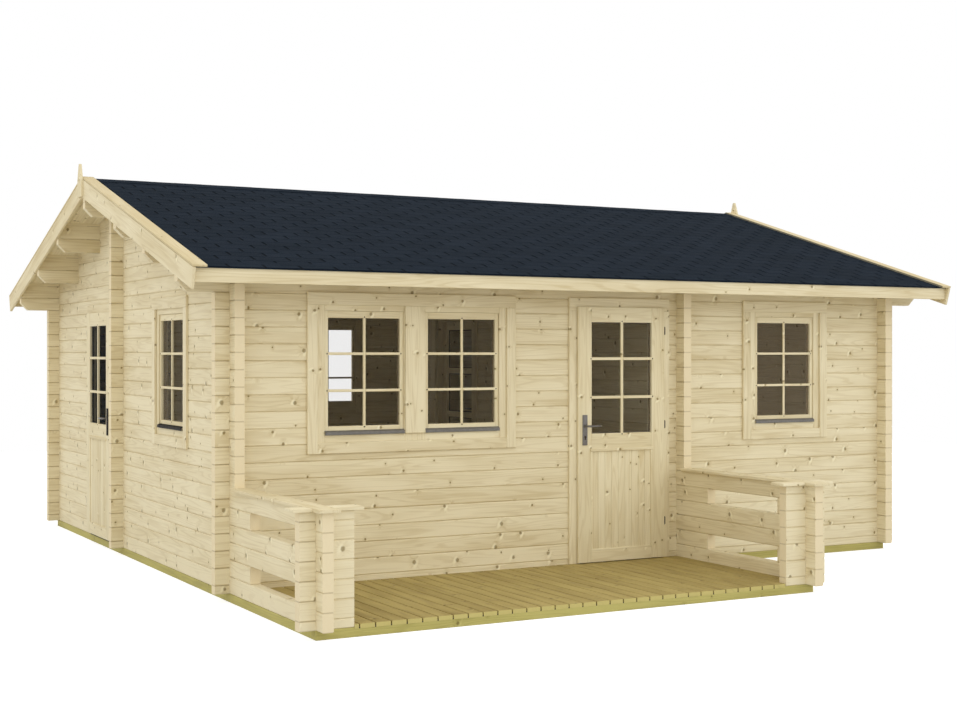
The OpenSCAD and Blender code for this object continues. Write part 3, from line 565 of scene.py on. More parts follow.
class Pieces:
    """Collects closed solids that share a material, each with its own grain."""

    def __init__(self):
        self.bm = bmesh.new()
        self.grain = self.bm.verts.layers.float_vector.new("grain")
        self.tint = self.bm.verts.layers.float.new("tint")

    def solid(self, pts, faces, axis, place=None, spread=0.14, tone=0.0):
        """Closed solid from local points and faces; axis is the grain's local direction."""
        off = Vector((rng.uniform(0, 40), rng.uniform(0, 40), rng.uniform(0, 40)))
        tint = tone + rng.uniform(-spread, spread)
        size = [max(p[k] for p in pts) - min(p[k] for p in pts) for k in range(3)]
        wide, thin = sorted((k for k in range(3) if k != axis), key=lambda k: -size[k])
        verts = []
        for p in pts:
            v = self.bm.verts.new(to_row(place(p) if place else p))
            v[self.grain] = Vector((p[axis], p[wide], p[thin])) * MM + off
            v[self.tint] = tint
            verts.append(v)
        for f in faces:
            self.bm.faces.new([verts[i] for i in f])

    def box(self, a, b, axis=0, place=None, spread=0.14, tone=0.0):
        """Block between two opposite corners, in any order."""
        lo = [min(p, q) for p, q in zip(a, b)]
        hi = [max(p, q) for p, q in zip(a, b)]
        pts = [(x, y, z) for z in (lo[2], hi[2]) for y in (lo[1], hi[1]) for x in (lo[0], hi[0])]
        self.solid(pts, BOX_FACES, axis, place, spread, tone)

    def rod(self, a, b, r, place=None, sides=20, r2=None):
        """Round bar from a to b in local points, of radius r2 at b if it tapers."""
        a = Vector(a)
        b = Vector(b)
        d = (b - a).normalized()
        u = d.orthogonal().normalized()
        w = d.cross(u)
        r2 = r if r2 is None else r2
        pts = []
        for c, rad in ((a, r), (b, r2)):
            for i in range(sides):
                t = 2 * math.pi * i / sides
                pts.append(tuple(c + rad * (math.cos(t) * u + math.sin(t) * w)))
        faces = [tuple(range(sides - 1, -1, -1)), tuple(range(sides, 2 * sides))]
        for i in range(sides):
            j = (i + 1) % sides
            faces.append((i, j, sides + j, sides + i))
        self.solid(pts, faces, 0, place)

    def tube(self, path, radii, place=None, sides=16):
        """Round bar along a path of local points with a radius at each."""
        path = [Vector(p) for p in path]
        pts = []
        for i, c in enumerate(path):
            d = (path[min(i + 1, len(path) - 1)] - path[max(i - 1, 0)]).normalized()
            u = Vector((0, 0, 1)) - d * d.z
            u = u.normalized() if u.length > 0.1 else Vector((1, 0, 0))
            w = d.cross(u)
            for k in range(sides):
                t = 2 * math.pi * k / sides
                pts.append(tuple(c + radii[i] * (math.cos(t) * u + math.sin(t) * w)))
        n = len(path)
        faces = [tuple(range(sides - 1, -1, -1)), tuple(range((n - 1) * sides, n * sides))]
        for i in range(n - 1):
            for k in range(sides):
                j = (k + 1) % sides
                faces.append((i * sides + k, i * sides + j, (i + 1) * sides + j, (i + 1) * sides + k))
        self.solid(pts, faces, 0, place)

    def make(self, name, material, body="cabin", bevel=1.5, segments=1, replaces=()):
        """One object of all the solids so far, with its sharp edges rounded by the bevel."""
        bmesh.ops.recalc_face_normals(self.bm, faces=self.bm.faces)
        if bevel:
            sharp = [e for e in self.bm.edges if e.calc_face_angle(0.0) > math.radians(40)]
            bmesh.ops.bevel(self.bm, geom=sharp, offset=bevel * MM, segments=segments, affect="EDGES",
                            profile=0.6, clamp_overlap=True)
        mesh = bpy.data.meshes.new(name)
        self.bm.to_mesh(mesh)
        self.bm.free()
        mesh.materials.append(material)
        mesh.set_sharp_from_angle(angle=math.radians(32))
        for poly in mesh.polygons:
            poly.use_smooth = True
        obj = add_object(name, mesh)
        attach(obj, body)
        if replaces:
            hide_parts(*replaces)


def on_slope(side):
    """Local (x, s, n) on a roof slope: s down from the ridge, n over the underside of the roof boards."""

    def place(p):
        x, s, n = p
        if s == 0.0:
            s = -n * TAN + 0.2
        y = MID + side * (s * COS + n * SIN)
        return (x, y, RIDGE - s * SIN + n * COS)

    return place


# CAD logs keep their solids and get the log materials

LOGS_X = ("front_wall_left", "front_wall_right", "front_wall_head", "back_wall", "cross_wall",
          "ridge_purlin", "purlins")
LOGS_Y = ("left_wall_front", "left_wall_back", "left_gable", "right_wall", "partition_front",
          "partition_back", "partition_head", "rail_left", "rail_right")
for names, material in ((LOGS_X, mat_log_x), (LOGS_Y, mat_log_y), (("rail_corners",), mat_corner)):
    for n in names:
        nodes[n].data.materials.clear()
        nodes[n].data.materials.append(material)

# Treated beams, floors and deck

beams = Pieces()
PART_BEAM_X = (PART_X + PART_X1 - BEAM_W) / 2
CROSS_BEAM_Y = CROSS_Y + (LOG - BEAM_W) / 2
DECK_BEAM_Y = -TERRACE / 2 - BEAM_W / 2
DECK_BACK = BEAM_W - TERRACE + BUTT
HOUSE_Y0 = BEAM_W + BUTT
HOUSE_Y1 = WIDTH - BEAM_W - BUTT
for a, b, axis in (
        ((0, -TERRACE), (PART_X1, BEAM_W - TERRACE), 0),
        ((0, 0), (LENGTH, BEAM_W), 0),
        ((0, WIDTH - BEAM_W), (LENGTH, WIDTH), 0),
        ((0, DECK_BACK), (BEAM_W, -BUTT), 1),
        ((PART_X1 - BEAM_W, DECK_BACK), (PART_X1, -BUTT), 1),
        ((0, HOUSE_Y0), (BEAM_W, HOUSE_Y1), 1),
        ((LENGTH - BEAM_W, HOUSE_Y0), (LENGTH, HOUSE_Y1), 1),
        ((PART_BEAM_X, HOUSE_Y0), (PART_BEAM_X + BEAM_W, HOUSE_Y1), 1),
        ((BEAM_W + BUTT, CROSS_BEAM_Y), (PART_BEAM_X - BUTT, CROSS_BEAM_Y + BEAM_W), 0),
        ((PART_BEAM_X + BEAM_W + BUTT, CROSS_BEAM_Y), (LENGTH - BEAM_W - BUTT, CROSS_BEAM_Y + BEAM_W), 0),
        ((BEAM_W + BUTT, DECK_BEAM_Y), (PART_X1 - BEAM_W - BUTT, DECK_BEAM_Y + BEAM_W), 0)):
    beams.box((*a, 0.0), (*b, BEAM), axis)
beams.make("ground_beams", mat_beam, bevel=2.5, replaces=["foundation_beams"])

deck = Pieces()
front_ends = []
inner = [DECK_FIRST + DECK_PITCH * i for i in range(34)]
inner = [e for e in inner if LOG + DECK_LEAST < e < PART_X - DECK_LEAST]
edges = [LOG + BUTT] + inner + [PART_X - BUTT]
corner0 = LOG + CORNER_IN + BUTT
corner1 = PART_X - CORNER_IN - BUTT
for i in range(len(edges) - 1):
    x0 = edges[i] + (DECK_GAP / 2 if i else 0.0)
    x1 = edges[i + 1] - (DECK_GAP / 2 if i < len(edges) - 2 else 0.0)
    cuts = sorted({x0, x1} | {c for c in (corner0, corner1) if x0 < c < x1})
    for p, q in zip(cuts, cuts[1:]):
        behind = q <= corner0 or p >= corner1
        y0 = (LOG - TERRACE + BUTT) if behind else -TERRACE
        deck.box((p, y0, BEAM), (q, -BUTT, FLOOR), 1)
        if not behind:
            front_ends.append((p, q))
deck.make("deck_boards", mat_deck, bevel=1.5, replaces=["terrace_deck"])

floor = Pieces()
for x0, x1, y0, y1 in (
        (LOG, PART_X, LOG, CROSS_Y),
        (CROSS_END, PART_X, CROSS_Y, WIDTH - LOG),
        (LOG, CROSS_END, CROSS_Y + LOG, WIDTH - LOG),
        (PART_X1, LENGTH - LOG, LOG, WIDTH - LOG)):
    y = y0 + BUTT
    while y < y1 - 2 * BUTT:
        far = min(y + FLOOR_PITCH - FLOOR_GAP, y1 - BUTT)
        floor.box((x0 + BUTT, y, BEAM), (x1 - BUTT, far, FLOOR), 0)
        y += FLOOR_PITCH
floor.make("floor_boards", mat_floor, bevel=1.2, replaces=["house_floor"])

# Rail caps: a long board on each rail, with cross boards over the corner logs

caps = Pieces()
CAP_FRONT = -(TERRACE + LOG_END + CAP_OVER)
for x, x0, x1 in ((0.0, -LOG_END, LOG + CORNER_IN), (PART_X, PART_X - CORNER_IN, PART_X1 + LOG_END)):
    left = x - CAP_OVER
    right = x + LOG + CAP_OVER
    # the long cap boards are toned darker than the cross boards: painted shade
    caps.box((left, CAP_FRONT, CAP_Z), (right, -LOG_END - BUTT, CAP_Z + CAP_T), 1, tone=0.3)
    y0 = -TERRACE - CAP_OVER
    y1 = LOG - TERRACE + CAP_OVER
    caps.box((x0 - CAP_END, y0, CAP_Z), (left - CAP_GAP, y1, CAP_Z + CAP_T), 0)
    caps.box((right + CAP_GAP, y0, CAP_Z), (x1 + CAP_END, y1, CAP_Z + CAP_T), 0)
caps.make("rail_cap_boards", mat_trim, bevel=3.0, segments=2, replaces=["rail_caps"])

# Roof boards and shingles

for side, name in ((-1, "front"), (1, "back")):
    place = on_slope(side)
    boards = Pieces()
    w = (ROOF_X1 - ROOF_X0) / ROOF_BOARDS
    for i in range(ROOF_BOARDS):
        p = ROOF_X0 + i * w + PLAY
        q = ROOF_X0 + (i + 1) * w - PLAY
        boards.box((p, 0.0, 0.0), (q, BOARD_S, BOARD), 1, place)
    boards.make("roof_boarding_" + name, mat_trim, bevel=2.5,
                replaces=["roof_boards_" + name])

    tabs = Pieces()
    butts = [BUTT_FIRST - EXPOSURE * i for i in range(BUTT_ROWS)]
    butts = [EAVE_S] + [b for b in butts if b > BUTT_LAST]
    low = ROOF_TOP - TAB_T
    for r, butt in enumerate(butts):
        head = max(butt - EXPOSURE - HEADLAP, 1.0)
        lift = TAB_LIFT * min(1.0, (butt - head) / (EXPOSURE + HEADLAP))
        first = TAB_STARTS[r % 2] - 2 * TAB_W
        k = 0
        while first + k * TAB_W < ROOF_X1:
            p = max(first + k * TAB_W + TAB_SLOT / 2, ROOF_X0)
            q = min(first + (k + 1) * TAB_W - TAB_SLOT / 2, ROOF_X1)
            k += 1
            if q - p < TAB_LEAST:
                continue
            section = ((head, low - lift), (butt, low), (head, ROOF_TOP - lift), (butt, ROOF_TOP))
            tabs.solid([(x, s, n) for s, n in section for x in (p, q)], BOX_FACES, 1, place, 0.16)
    for i in range(RIDGE_TABS):
        p = ROOF_X0 + COVER_W - BARGE_T + RIDGE_IN + i * RIDGE_PITCH
        q = min(p + RIDGE_L, ROOF_X1 - COVER_W + BARGE_T - RIDGE_IN)
        n = ROOF_TOP + PLAY + RIDGE_STEP * (i % 2)
        if q > p:
            tabs.box((p, 0.0, n), (q, RIDGE_S, n + RIDGE_T), 0, place, 0.16)
    edge_n = FASCIA_UP * COS + PLAY
    tabs.box((ROOF_X0, BOARD_S + 0.4, edge_n), (ROOF_X1, EAVE_S - 0.5, BOARD - 0.1), 1, place)
    tabs.make("shingles_" + name, mat_shingle, bevel=0.0,
              replaces=["roof_covering_" + name])
    # a near-black sheet under the tabs: its darkness in the slots between tabs is painted shade
    sheet = Pieces()
    sheet.box((ROOF_X0, 0.0, BOARD), (ROOF_X1, EAVE_S - 1.0, BOARD + 0.5), 1, place)
    sheet.make("underlay_" + name, mat_underlay_shade, bevel=0.0)

# Edge boards of the roof

barges = Pieces()
covers = Pieces()
for side in (-1, 1):
    place = on_slope(side)
    for x in (ROOF_X0 - BARGE_T, ROOF_X1):
        top = ROOF_TOP - BARGE_LOW
        barges.box((x, 0.0, ROOF_TOP - BARGE_H), (x + BARGE_T, BARGE_S, top), 1, place, tone=0.25)
    for x in (ROOF_X0 - BARGE_T, ROOF_X1 + BARGE_T - COVER_W):
        top = ROOF_TOP + COVER_T
        # the cover boards are toned darker: painted shade on their tops
        covers.box((x, 0.0, ROOF_TOP + PLAY), (x + COVER_W, BARGE_S, top), 1, place, tone=0.7)
barges.make("barge_planks", mat_edge, bevel=2.0, replaces=["barge_boards"])
covers.make("barge_cover_planks", mat_edge, bevel=2.5, segments=2,
            replaces=["barge_covers"])

fascias = Pieces()
for side in (-1, 1):
    y1 = MID + side * FASCIA_Y
    y0 = y1 - side * BARGE_T
    z1 = RIDGE - FASCIA_Y * TAN + FASCIA_UP
    z0 = z1 + BARGE_T * TAN
    outline = ((y0, z1 - FASCIA_H), (y1, z1 - FASCIA_H), (y1, z1), (y0, z0))
    pts = [(x, y, z) for x in (ROOF_X0 + PLAY, ROOF_X1 - PLAY) for y, z in outline]
    fascias.solid(pts, prism_faces(4), 0)
fascias.make("eave_planks", mat_edge, bevel=2.0, replaces=["eave_fascias"])

finials = Pieces()
foot_z = RIDGE + (ROOF_TOP - BARGE_H) / COS
neck_z = RIDGE + ROOF_TOP / COS - FIN_W / 2 * TAN
tip_z = RIDGE + ROOF_TOP / COS + FIN_UP
outline = [(-FIN_W / 2, foot_z), (FIN_W / 2, foot_z), (FIN_W / 2, neck_z), (FIN_TIP / 2, tip_z),
           (-FIN_TIP / 2, tip_z), (-FIN_W / 2, neck_z)]
for x in (ROOF_X0 - 2 * BARGE_T, ROOF_X1 + BARGE_T):
    pts = [(x + dx, MID + y, z) for dx in (0.0, BARGE_T) for y, z in outline]
    finials.solid(pts, prism_faces(6), 2)
finials.make("gable_finials", mat_edge, bevel=2.5, segments=2, replaces=["finials"])

# Windows: local points are (across, inwards, up) in a wall's own opening


def front_at(x):
    return lambda p: (x + p[0], p[1], p[2])


def left_at(y):
    return lambda p: (p[1], y - p[0], p[2])


def back_at(x):
    return lambda p: (x - p[0], WIDTH - p[1], p[2])


LEFT_SASH = left_at(LEFT_Y)
RIGHT_SASH = front_at(RIGHT_X)
BACK_SASH = back_at(BACK_X)
SASHES = [front_at(TWIN_X - TWIN_PITCH / 2), front_at(TWIN_X + TWIN_PITCH / 2), RIGHT_SASH, LEFT_SASH,
          BACK_SASH]
UNITS = [(front_at(TWIN_X), OPEN_HALF + TWIN_PITCH / 2), (RIGHT_SASH, OPEN_HALF), (LEFT_SASH, OPEN_HALF),
         (BACK_SASH, OPEN_HALF)]


def bar_pin(pin, place, u, z, face):
    """Round head of a pin at a bar's end."""
    pin.rod((u, face + 1.0, z), (u, face - 1.6, z), 5.5, place, 14, 4.5)


def glazing_bars(out, pin, place, half, z0, z1, front, pane, levels, wide):
    """Bars in front of a pane, let into the outer face of a sash or leaf, each end held by a pin."""
    back = pane - 0.4
    face = front - BAR_RISE
    out.box((-wide / 2, face, z0 - BAR_LAP), (wide / 2, back, z1 + BAR_LAP), 2, place)
    for z in (z0 - BAR_LAP / 2, z1 + BAR_LAP / 2):
        bar_pin(pin, place, 0.0, z, face)
    for z in levels:
        for a, b in ((-half - BAR_LAP, -wide / 2), (wide / 2, half + BAR_LAP)):
            out.box((a, face, z - wide / 2), (b, back, z + wide / 2), 0, place)
        for u in (-half - BAR_LAP / 2, half + BAR_LAP / 2):
            bar_pin(pin, place, u, z, face)


def glazing_seals(out, place, half, z0, z1, y0, y1, wide):
    """Seal round the inner face of a pane; its dark colour is painted shade behind the glass."""
    for s in (-1, 1):
        out.box((s * half, y0, z0), (s * (half - wide), y1, z1), 2, place)
    out.box((wide - half, y0, z0), (half - wide, y1, z0 + wide), 0, place)
    out.box((wide - half, y0, z1 - wide), (half - wide, y1, z1), 0, place)


def pane_box(out, place, half, z0, z1, y):
    a = (-half + PANE_PLAY, y, z0 + PANE_PLAY)
    b = (half - PANE_PLAY, y + PANE_T, z1 - PANE_PLAY)
    out.box(a, b, 0, place)


frames = Pieces()
sashes = Pieces()
bars = Pieces()
pins = Pieces()
panes = Pieces()
lit_room_pane = Pieces()
sills = Pieces()
dark_sill = Pieces()
seals = Pieces()
for place in SASHES:
    i = SASH_HALF + 1.0
    o = i + FRAME_W
    top = SASH_Z1 + FRAME_W
    sash_y = SASH_IN + SASH_T
    for s in (-1, 1):
        frames.box((s * i, 0.0, WIN_Z0 + PLAY), (s * o, LOG, top), 2, place)
        sashes.box((s * GLASS_U, SASH_IN, SASH_Z0), (s * SASH_HALF, sash_y, SASH_Z1), 2, place)
    frames.box((-i + PLAY, 0.0, SASH_Z1 + 1.0), (i - PLAY, LOG, top), 0, place)
    frames.box((-i + PLAY, 0.0, WIN_Z0 + PLAY), (i - PLAY, LOG, SASH_Z0 - PLAY), 0, place)
    sashes.box((-GLASS_U, SASH_IN, SASH_Z0), (GLASS_U, sash_y, GLASS_Z0), 0, place)
    sashes.box((-GLASS_U, SASH_IN, GLASS_Z1), (GLASS_U, sash_y, SASH_Z1), 0, place)
    # the right window's pane is pale: painted light of the lit room behind
    pane_box(lit_room_pane if place is RIGHT_SASH else panes, place, GLASS_U, GLASS_Z0, GLASS_Z1, PANE_Y)
    glazing_bars(bars, pins, place, GLASS_U, GLASS_Z0, GLASS_Z1, SASH_IN, PANE_Y, WINDOW_BARS_Z, BAR_W)
    glazing_seals(seals, place, GLASS_U, GLASS_Z0, GLASS_Z1, PANE_Y + PANE_T + 0.2, sash_y - 0.5, SEAL_T)
    z = SASH_Z0 + SILL_H
    lip = SILL_T - SILL_REACH
    section = ((SASH_IN - PLAY, z), (-SILL_REACH, z - SILL_FALL), (-SILL_REACH, z - SILL_H),
               (lip, z - SILL_H), (lip, z - SILL_FALL - SILL_T), (SASH_IN - PLAY, z - SILL_T))
    pts = [(u, y, h) for u in (-SASH_HALF, SASH_HALF) for y, h in section]
    # the left window's sill gets the near-black metal: painted dark reflection
    (dark_sill if place is LEFT_SASH else sills).solid(pts, prism_faces(6), 0, place)

TRIM_TOP = WIN_Z1 + TRIM_OVER
for place, half in UNITS:
    i = half - TRIM_LAP
    o = i + TRIM_W
    zi = TRIM_TOP - TRIM_HEAD
    zb = WIN_Z0 + FOOT_LAP
    for s in (-1, 1):
        frames.box((s * i, -TRIM_T, zb - TRIM_FOOT), (s * o, -PLAY, zi - TRIM_GAP), 2, place)
    frames.box((-o, -TRIM_T, zi), (o, -PLAY, TRIM_TOP), 0, place)
    frames.box((-i + TRIM_GAP, -TRIM_T, zb - TRIM_FOOT), (i - TRIM_GAP, -PLAY, zb), 0, place)
    if half > OPEN_HALF:
        # the post between twin sashes, and its cover board
        p = TWIN_PITCH / 2 - SASH_HALF - FRAME_W - 1.3
        frames.box((-p, 0.0, WIN_Z0 + PLAY), (p, LOG, SASH_Z1 + FRAME_W), 2, place)
        b = TWIN_PITCH / 2 - SASH_HALF - 4.0
        frames.box((-b, -TRIM_T, SASH_Z0), (b, -PLAY, zi - TRIM_GAP), 2, place)

frames.make("window_frame_boards", mat_trim, bevel=2.0, replaces=["window_frames"])
sashes.make("window_sash_rails", mat_joinery, bevel=2.5, segments=2,
            replaces=["window_sashes"])
bars.make("window_bars", mat_joinery, bevel=4.0, segments=3)
pins.make("window_bar_pins", mat_pin, bevel=0.8)
panes.make("window_panes", mat_glass, bevel=0.0, replaces=["window_glass"])
lit_room_pane.make("right_window_pane", mat_lit_room_glass, bevel=0.0)
sills.make("window_sill_sheets", mat_sill, bevel=0.8, replaces=["window_sills"])
dark_sill.make("left_window_sill_sheet", mat_dark_reflection, bevel=0.8)
seals.make("window_glazing_seals", mat_window_seal_shade, bevel=0.0)

# Doors: local points as at the windows


def side_at(p):
    return (p[1], SIDE_DOOR_Y + p[0], p[2])


def inner_at(p):
    return (PART_X1 - p[1], INNER_DOOR_Y + p[0], p[2])


def clip(v, a):
    return max(-a, min(a, v))


# A lever's path from its rose, as (along the leaf, out of it), with its radii
LEVER = ((0.0, 12.0), (0.0, 34.0), (2.5, 42.0), (8.0, 47.0), (17.0, 50.0), (45.0, 51.0), (85.0, 51.0),
         (108.0, 49.0), (117.0, 46.0))
LEVER_R = (8.0, 7.6, 7.6, 7.8, 8.0, 7.6, 7.0, 6.6, 4.5)


def door_leaf(body, place, panes_z, bars_z, panel):
    """Leaf with its panes and bars; panel says whether a boarded panel lies below the pane."""
    front = LEAF_FRONT
    back = LEAF_BACK
    gh = GLASS_HALF
    leaf = Pieces()
    glass = Pieces()
    seal = Pieces()
    stops = [LEAF_Z0] + [z for pane in panes_z for z in pane] + [LEAF_Z1]
    rails = list(zip(stops[::2], stops[1::2]))
    if panel:
        rails = [(LEAF_Z0, PANEL_Z0), (PANEL_Z1, rails[0][1])] + rails[1:]
    members = [(s * gh, s * LEAF_HALF, LEAF_Z0, LEAF_Z1, 2) for s in (-1, 1)]
    members += [(-gh, gh, z0, z1, 0) for z0, z1 in rails]
    for u0, u1, z0, z1, axis in members:
        leaf.box((u0, front, z0), (u1, -LIP_Y, z1), axis, place)
        core_top = min(z1, LEAF_Z1 - CORE_DROP)
        leaf.box((clip(u0, CORE_HALF), -LIP_Y, z0), (clip(u1, CORE_HALF), back, core_top), axis, place)
    if panel:
        w = 2 * gh / PANEL_BOARDS
        low = PANEL_Z0
        high = PANEL_Z1
        for i in range(PANEL_BOARDS):
            a = (-gh + i * w + 0.5, front + PANEL_IN, low)
            b = (-gh + i * w + w - 0.5, back - PANEL_IN, high)
            leaf.box(a, b, 2, place, 0.26)
        # the drip rail over the panel, and the beads on its other three sides
        leaf.box((-gh - 12.0, front - 7.0, high - 13.0), (gh + 12.0, front + 8.0, high + 9.0), 0, place)
        leaf.box((-gh - 6.0, front - 2.0, low - 6.0), (gh + 6.0, front + 7.0, low + 8.0), 0, place)
        for s in (-1, 1):
            a = (s * (gh - 8.0), front - 2.0, low + 8.0)
            b = (s * (gh + 6.0), front + 7.0, high - 13.0)
            leaf.box(a, b, 2, place)
    for z0, z1 in panes_z:
        pane_box(glass, place, gh, z0, z1, -LIP_Y)
        glazing_seals(seal, place, gh, z0, z1, PANE_T + 0.5 - LIP_Y, 16.0 - LIP_Y, DOOR_SEAL)
    seal.make(body + "_glazing_seals", mat_door_seal_shade, body, bevel=1.5)
    if bars_z:
        lath = Pieces()
        pin = Pieces()
        z0, z1 = panes_z[0]
        glazing_bars(lath, pin, place, gh, z0, z1, front, -LIP_Y, bars_z, DOOR_BAR_W)
        lath.make(body + "_bars", mat_joinery, body, bevel=4.0, segments=3)
        pin.make(body + "_bar_pins", mat_pin, body, bevel=0.8)
    leaf.make(body + "_boards", mat_joinery, body, bevel=2.5, segments=2,
              replaces=[body + "_leaf"])
    # the side door's panes are dark: painted shade of the unlit room behind
    pane = mat_dark_room_glass if body == "side_door" else mat_glass
    glass.make(body + "_panes", pane, body, bevel=0.0, replaces=[body + "_glass"])


def door_hardware(body, place):
    """Plates, levers and key cylinders on both faces of a leaf, and its halves of the hinges."""
    metal = Pieces()
    rod = Pieces()
    key = Pieces()
    knuckle = Pieces()
    u = PLATE_U
    z = PLATE_Z
    for face, out in ((LEAF_FRONT, -1), (LEAF_BACK, 1)):
        w = PLATE_HALF_W
        h = PLATE_HALF_H
        metal.box((u - w, face, z - h), (u + w, face + out * PLATE_T, z + h), 2, place)
        plate_y = face + out * (PLATE_T - 1.0)
        lever_z = z + LEVER_UP
        rod.rod((u, plate_y, lever_z), (u, face + out * 15.0, lever_z), 13.0, place, 28, 11.0)
        key_z = z - KEY_DOWN
        key_y = face + out * KEY_OUT
        key.rod((u, plate_y, key_z), (u, key_y, key_z), 8.5, place, 24)
        key.box((u - 4.5, plate_y, key_z - 22.0), (u + 4.5, key_y, key_z - 2.0), 2, place)
        rod.tube([(u + a, face + out * b, lever_z) for a, b in LEVER], LEVER_R, place)
    # the side door's plates get the near-black metal: painted dark reflection
    plate = mat_dark_reflection if body == "side_door" else mat_metal
    metal.make(body + "_plates", plate, body, bevel=3.0, segments=3,
               replaces=[body + "_hardware"])
    for hz in HINGES_Z:
        top = hz + HINGE_L
        wide, slim = HINGE_TIP_R
        knuckle.rod((HINGE_U, -HINGE_V, hz + 0.4), (HINGE_U, -HINGE_V, top), HINGE_R, place, 24)
        knuckle.rod((HINGE_U, -HINGE_V, top), (HINGE_U, -HINGE_V, top + HINGE_TIP), wide, place, 24, slim)
        knuckle.box((LEAF_HALF - 1.0, -HINGE_V - 3.0, hz + 1.0), (HINGE_U, -HINGE_V, top), 2, place)
    rod.make(body + "_levers", mat_metal, body, bevel=0.6)
    key.make(body + "_key_cylinders", mat_pin, body, bevel=0.6)
    knuckle.make(body + "_hinge_knuckles", mat_hinge, body, bevel=0.6)


def door_frame(out, hinge, shade_strip, place, both):
    """Jambs, head, threshold and trim boards round a doorway, a dark strip of painted shade under the
    threshold, and the frame's halves of the hinges.
    """
    i = CORE_HALF + JAMB_PLAY
    o = i + JAMB_W
    core_top = LEAF_Z1 - CORE_DROP + JAMB_PLAY
    head_top = core_top + JAMB_W
    w = DOOR_TRIM_W
    for s in (-1, 1):
        out.box((s * i, 0.0, FLOOR + PLAY), (s * (o - PLAY), LOG, head_top), 2, place)
        out.box((s * i, -TRIM_T, FLOOR + PLAY), (s * (i + w), -PLAY, core_top - TRIM_GAP), 2, place)
    out.box((-i + PLAY, 0.0, core_top), (i - PLAY, LOG, head_top), 0, place)
    out.box((-i - w, -TRIM_T, core_top), (i + w, -PLAY, TRIM_TOP), 0, place)
    out.box((-o + PLAY, 0.0, BEAM + SILL_LIP), (o - PLAY, LOG, FLOOR), 0, place)
    out.box((-o + PLAY, SILL_BACK, BEAM), (o - PLAY, LOG, BEAM + SILL_LIP), 0, place)
    # a dark strip in the groove under the threshold: painted shade
    shade_strip.box((-o + PLAY, -1.0, BEAM + 0.2), (o - PLAY, SILL_BACK - 0.2, BEAM + STRIP_TOP), 0, place)
    if both:
        i = o - TRIM_LAP
        w = INNER_TRIM_W
        zi = head_top - TRIM_LAP
        far = LOG + TRIM_T
        for s in (-1, 1):
            out.box((s * i, LOG + PLAY, FLOOR + PLAY), (s * (i + w), far, zi - TRIM_GAP), 2, place)
        out.box((-i - w, LOG + PLAY, zi), (i + w, far, TRIM_TOP), 0, place)
    for hz in HINGES_Z:
        low = hz - HINGE_L
        wide, slim = HINGE_TIP_R
        hinge.rod((HINGE_U, -HINGE_V, low), (HINGE_U, -HINGE_V, hz), HINGE_R, place, 24)
        hinge.rod((HINGE_U, -HINGE_V, low - HINGE_TIP), (HINGE_U, -HINGE_V, low), slim, place, 24, wide)
        hinge.box((HINGE_U - 1.5, -HINGE_V, low), (HINGE_U + 1.5, -TRIM_T, hz - 1.0), 2, place)


hinge_parts = Pieces()
shade_strips = Pieces()
inner_low = [DOOR_PANE[1] + INNER_RAIL - k * INNER_PITCH for k in (4, 3, 2, 1)]
INNER_PANES = [(z, z + INNER_PITCH - INNER_RAIL) for z in inner_low]
for body, place, panes_z, bars_z, panel in (
        ("front_door", front_at(FRONT_DOOR_X), [DOOR_PANE], DOOR_BARS_Z, True),
        ("side_door", side_at, [DOOR_PANE], DOOR_BARS_Z, True),
        ("inner_door", inner_at, INNER_PANES, (), False)):
    door_leaf(body, place, panes_z, bars_z, panel)
    door_hardware(body, place)
    boards = Pieces()
    door_frame(boards, hinge_parts, shade_strips, place, body == "inner_door")
    boards.make(body + "_frame_boards", mat_trim, bevel=2.0, replaces=[body + "_frame"])
shade_strips.make("threshold_shade_strips", mat_shade_strip, bevel=1.0)
hinge_parts.make("hinge_posts", mat_hinge, bevel=0.6, replaces=["door_hinges"])

# A dark strip along the inner edge of each cover board: painted shade on the board's shaded side

cover_shade_strips = Pieces()
for side in (-1, 1):
    place = on_slope(side)
    for x in (ROOF_X0 - BARGE_T + COVER_W + 0.2, ROOF_X1 + BARGE_T - COVER_W - 1.8):
        top = ROOF_TOP + COVER_T - 1.0
        cover_shade_strips.box((x, 0.0, ROOF_TOP + 0.4), (x + SHADE_STRIP_T, BARGE_S - 1.0, top), 1, place)
cover_shade_strips.make("cover_edge_shade_strip", mat_cover_edge_shade, bevel=0.0)

# Front ends of the deck boards lap over the beam, with a dark strip of painted shade behind the gaps

ends = Pieces()
LAP_Z = BEAM - DECK_LAP
for p, q in front_ends:
    ends.box((p, -TERRACE - 1.6, LAP_Z), (q, -TERRACE - 0.1, FLOOR - 1.0), 1)
ends.make("deck_board_ends", mat_deck, bevel=0.0)
gaps = Pieces()
gaps.box((front_ends[0][0], -TERRACE - 0.7, LAP_Z), (front_ends[-1][1], -TERRACE - 0.1, BEAM))
gaps.make("deck_edge_shade_strip", mat_shade_strip, bevel=0.0)

# Stage, light and camera


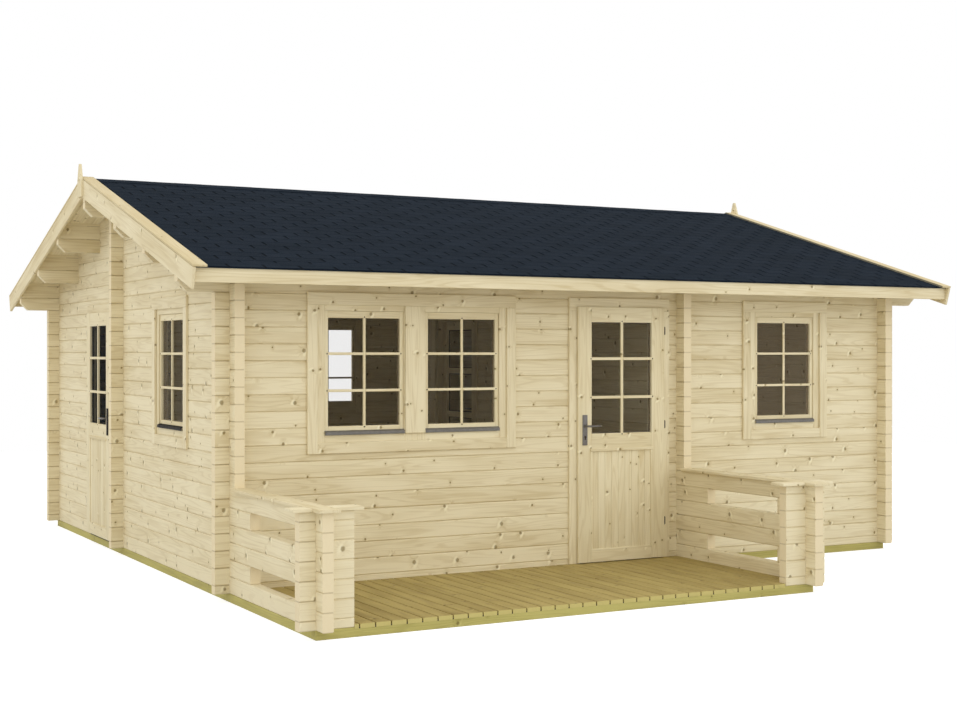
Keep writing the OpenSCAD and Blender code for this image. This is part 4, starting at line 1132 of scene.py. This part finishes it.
def seen_ray(tree):
    """1 for rays of the camera, of reflections and through glass, which show the white background."""
    path = add_node(tree, "ShaderNodeLightPath").outputs
    through = calc(tree, "MAXIMUM", path["Is Glossy Ray"], path["Is Transmission Ray"])
    return calc(tree, "MAXIMUM", path["Is Camera Ray"], through)


mesh = bpy.data.meshes.new("ground")
corners = [(-GROUND, -GROUND, 0), (GROUND, -GROUND, 0), (GROUND, GROUND, 0), (-GROUND, GROUND, 0)]
mesh.from_pydata(corners, [], [(0, 1, 2, 3)])
ground = add_object("ground", mesh)
m, t, bsdf = new_material("pale_ground")
bsdf.inputs["Base Color"].default_value = (GROUND_GREY, GROUND_GREY, GROUND_GREY, 1.0)
bsdf.inputs["Roughness"].default_value = 1.0
bsdf.inputs["Specular IOR Level"].default_value = 0.0
bsdf.inputs["Emission Color"].default_value = (1.0, 1.0, 1.0, 1.0)
t.links.new(calc(t, "MULTIPLY", seen_ray(t), GROUND_GLOW), bsdf.inputs["Emission Strength"])
mesh.materials.append(m)

scene = bpy.context.scene
world = bpy.data.worlds.new("studio")
scene.world = world
world.use_nodes = True
t = world.node_tree
sky = t.nodes["Background"]
sky.inputs["Color"].default_value = (1.0, 1.0, 1.0, 1.0)
t.links.new(remap(t, seen_ray(t), 0.0, 1.0, SKY_LIGHT, SKY_SEEN), sky.inputs["Strength"])

sun = bpy.data.lights.new("sun", "SUN")
sun.energy = SUN_POWER
sun.angle = SUN_SPREAD
sun.color = SUN_TINT
add_object("sun", sun).rotation_euler = SUN_FROM.to_track_quat("Z", "Y").to_euler()

camera = bpy.data.cameras.new("camera")
camera.sensor_width = SENSOR
camera.lens = FOCAL_PX * SENSOR / PHOTO_W
camera.shift_y = SHIFT_PX / PHOTO_W
camera.clip_end = CAMERA_FAR
scene.camera = add_object("camera", camera)
scene.camera.location = to_row(CAMERA_AT)
scene.camera.rotation_euler = (math.pi / 2, 0.0, CAMERA_TURN)
scene.view_settings.view_transform = "Standard"

bpy.context.view_layer.update()
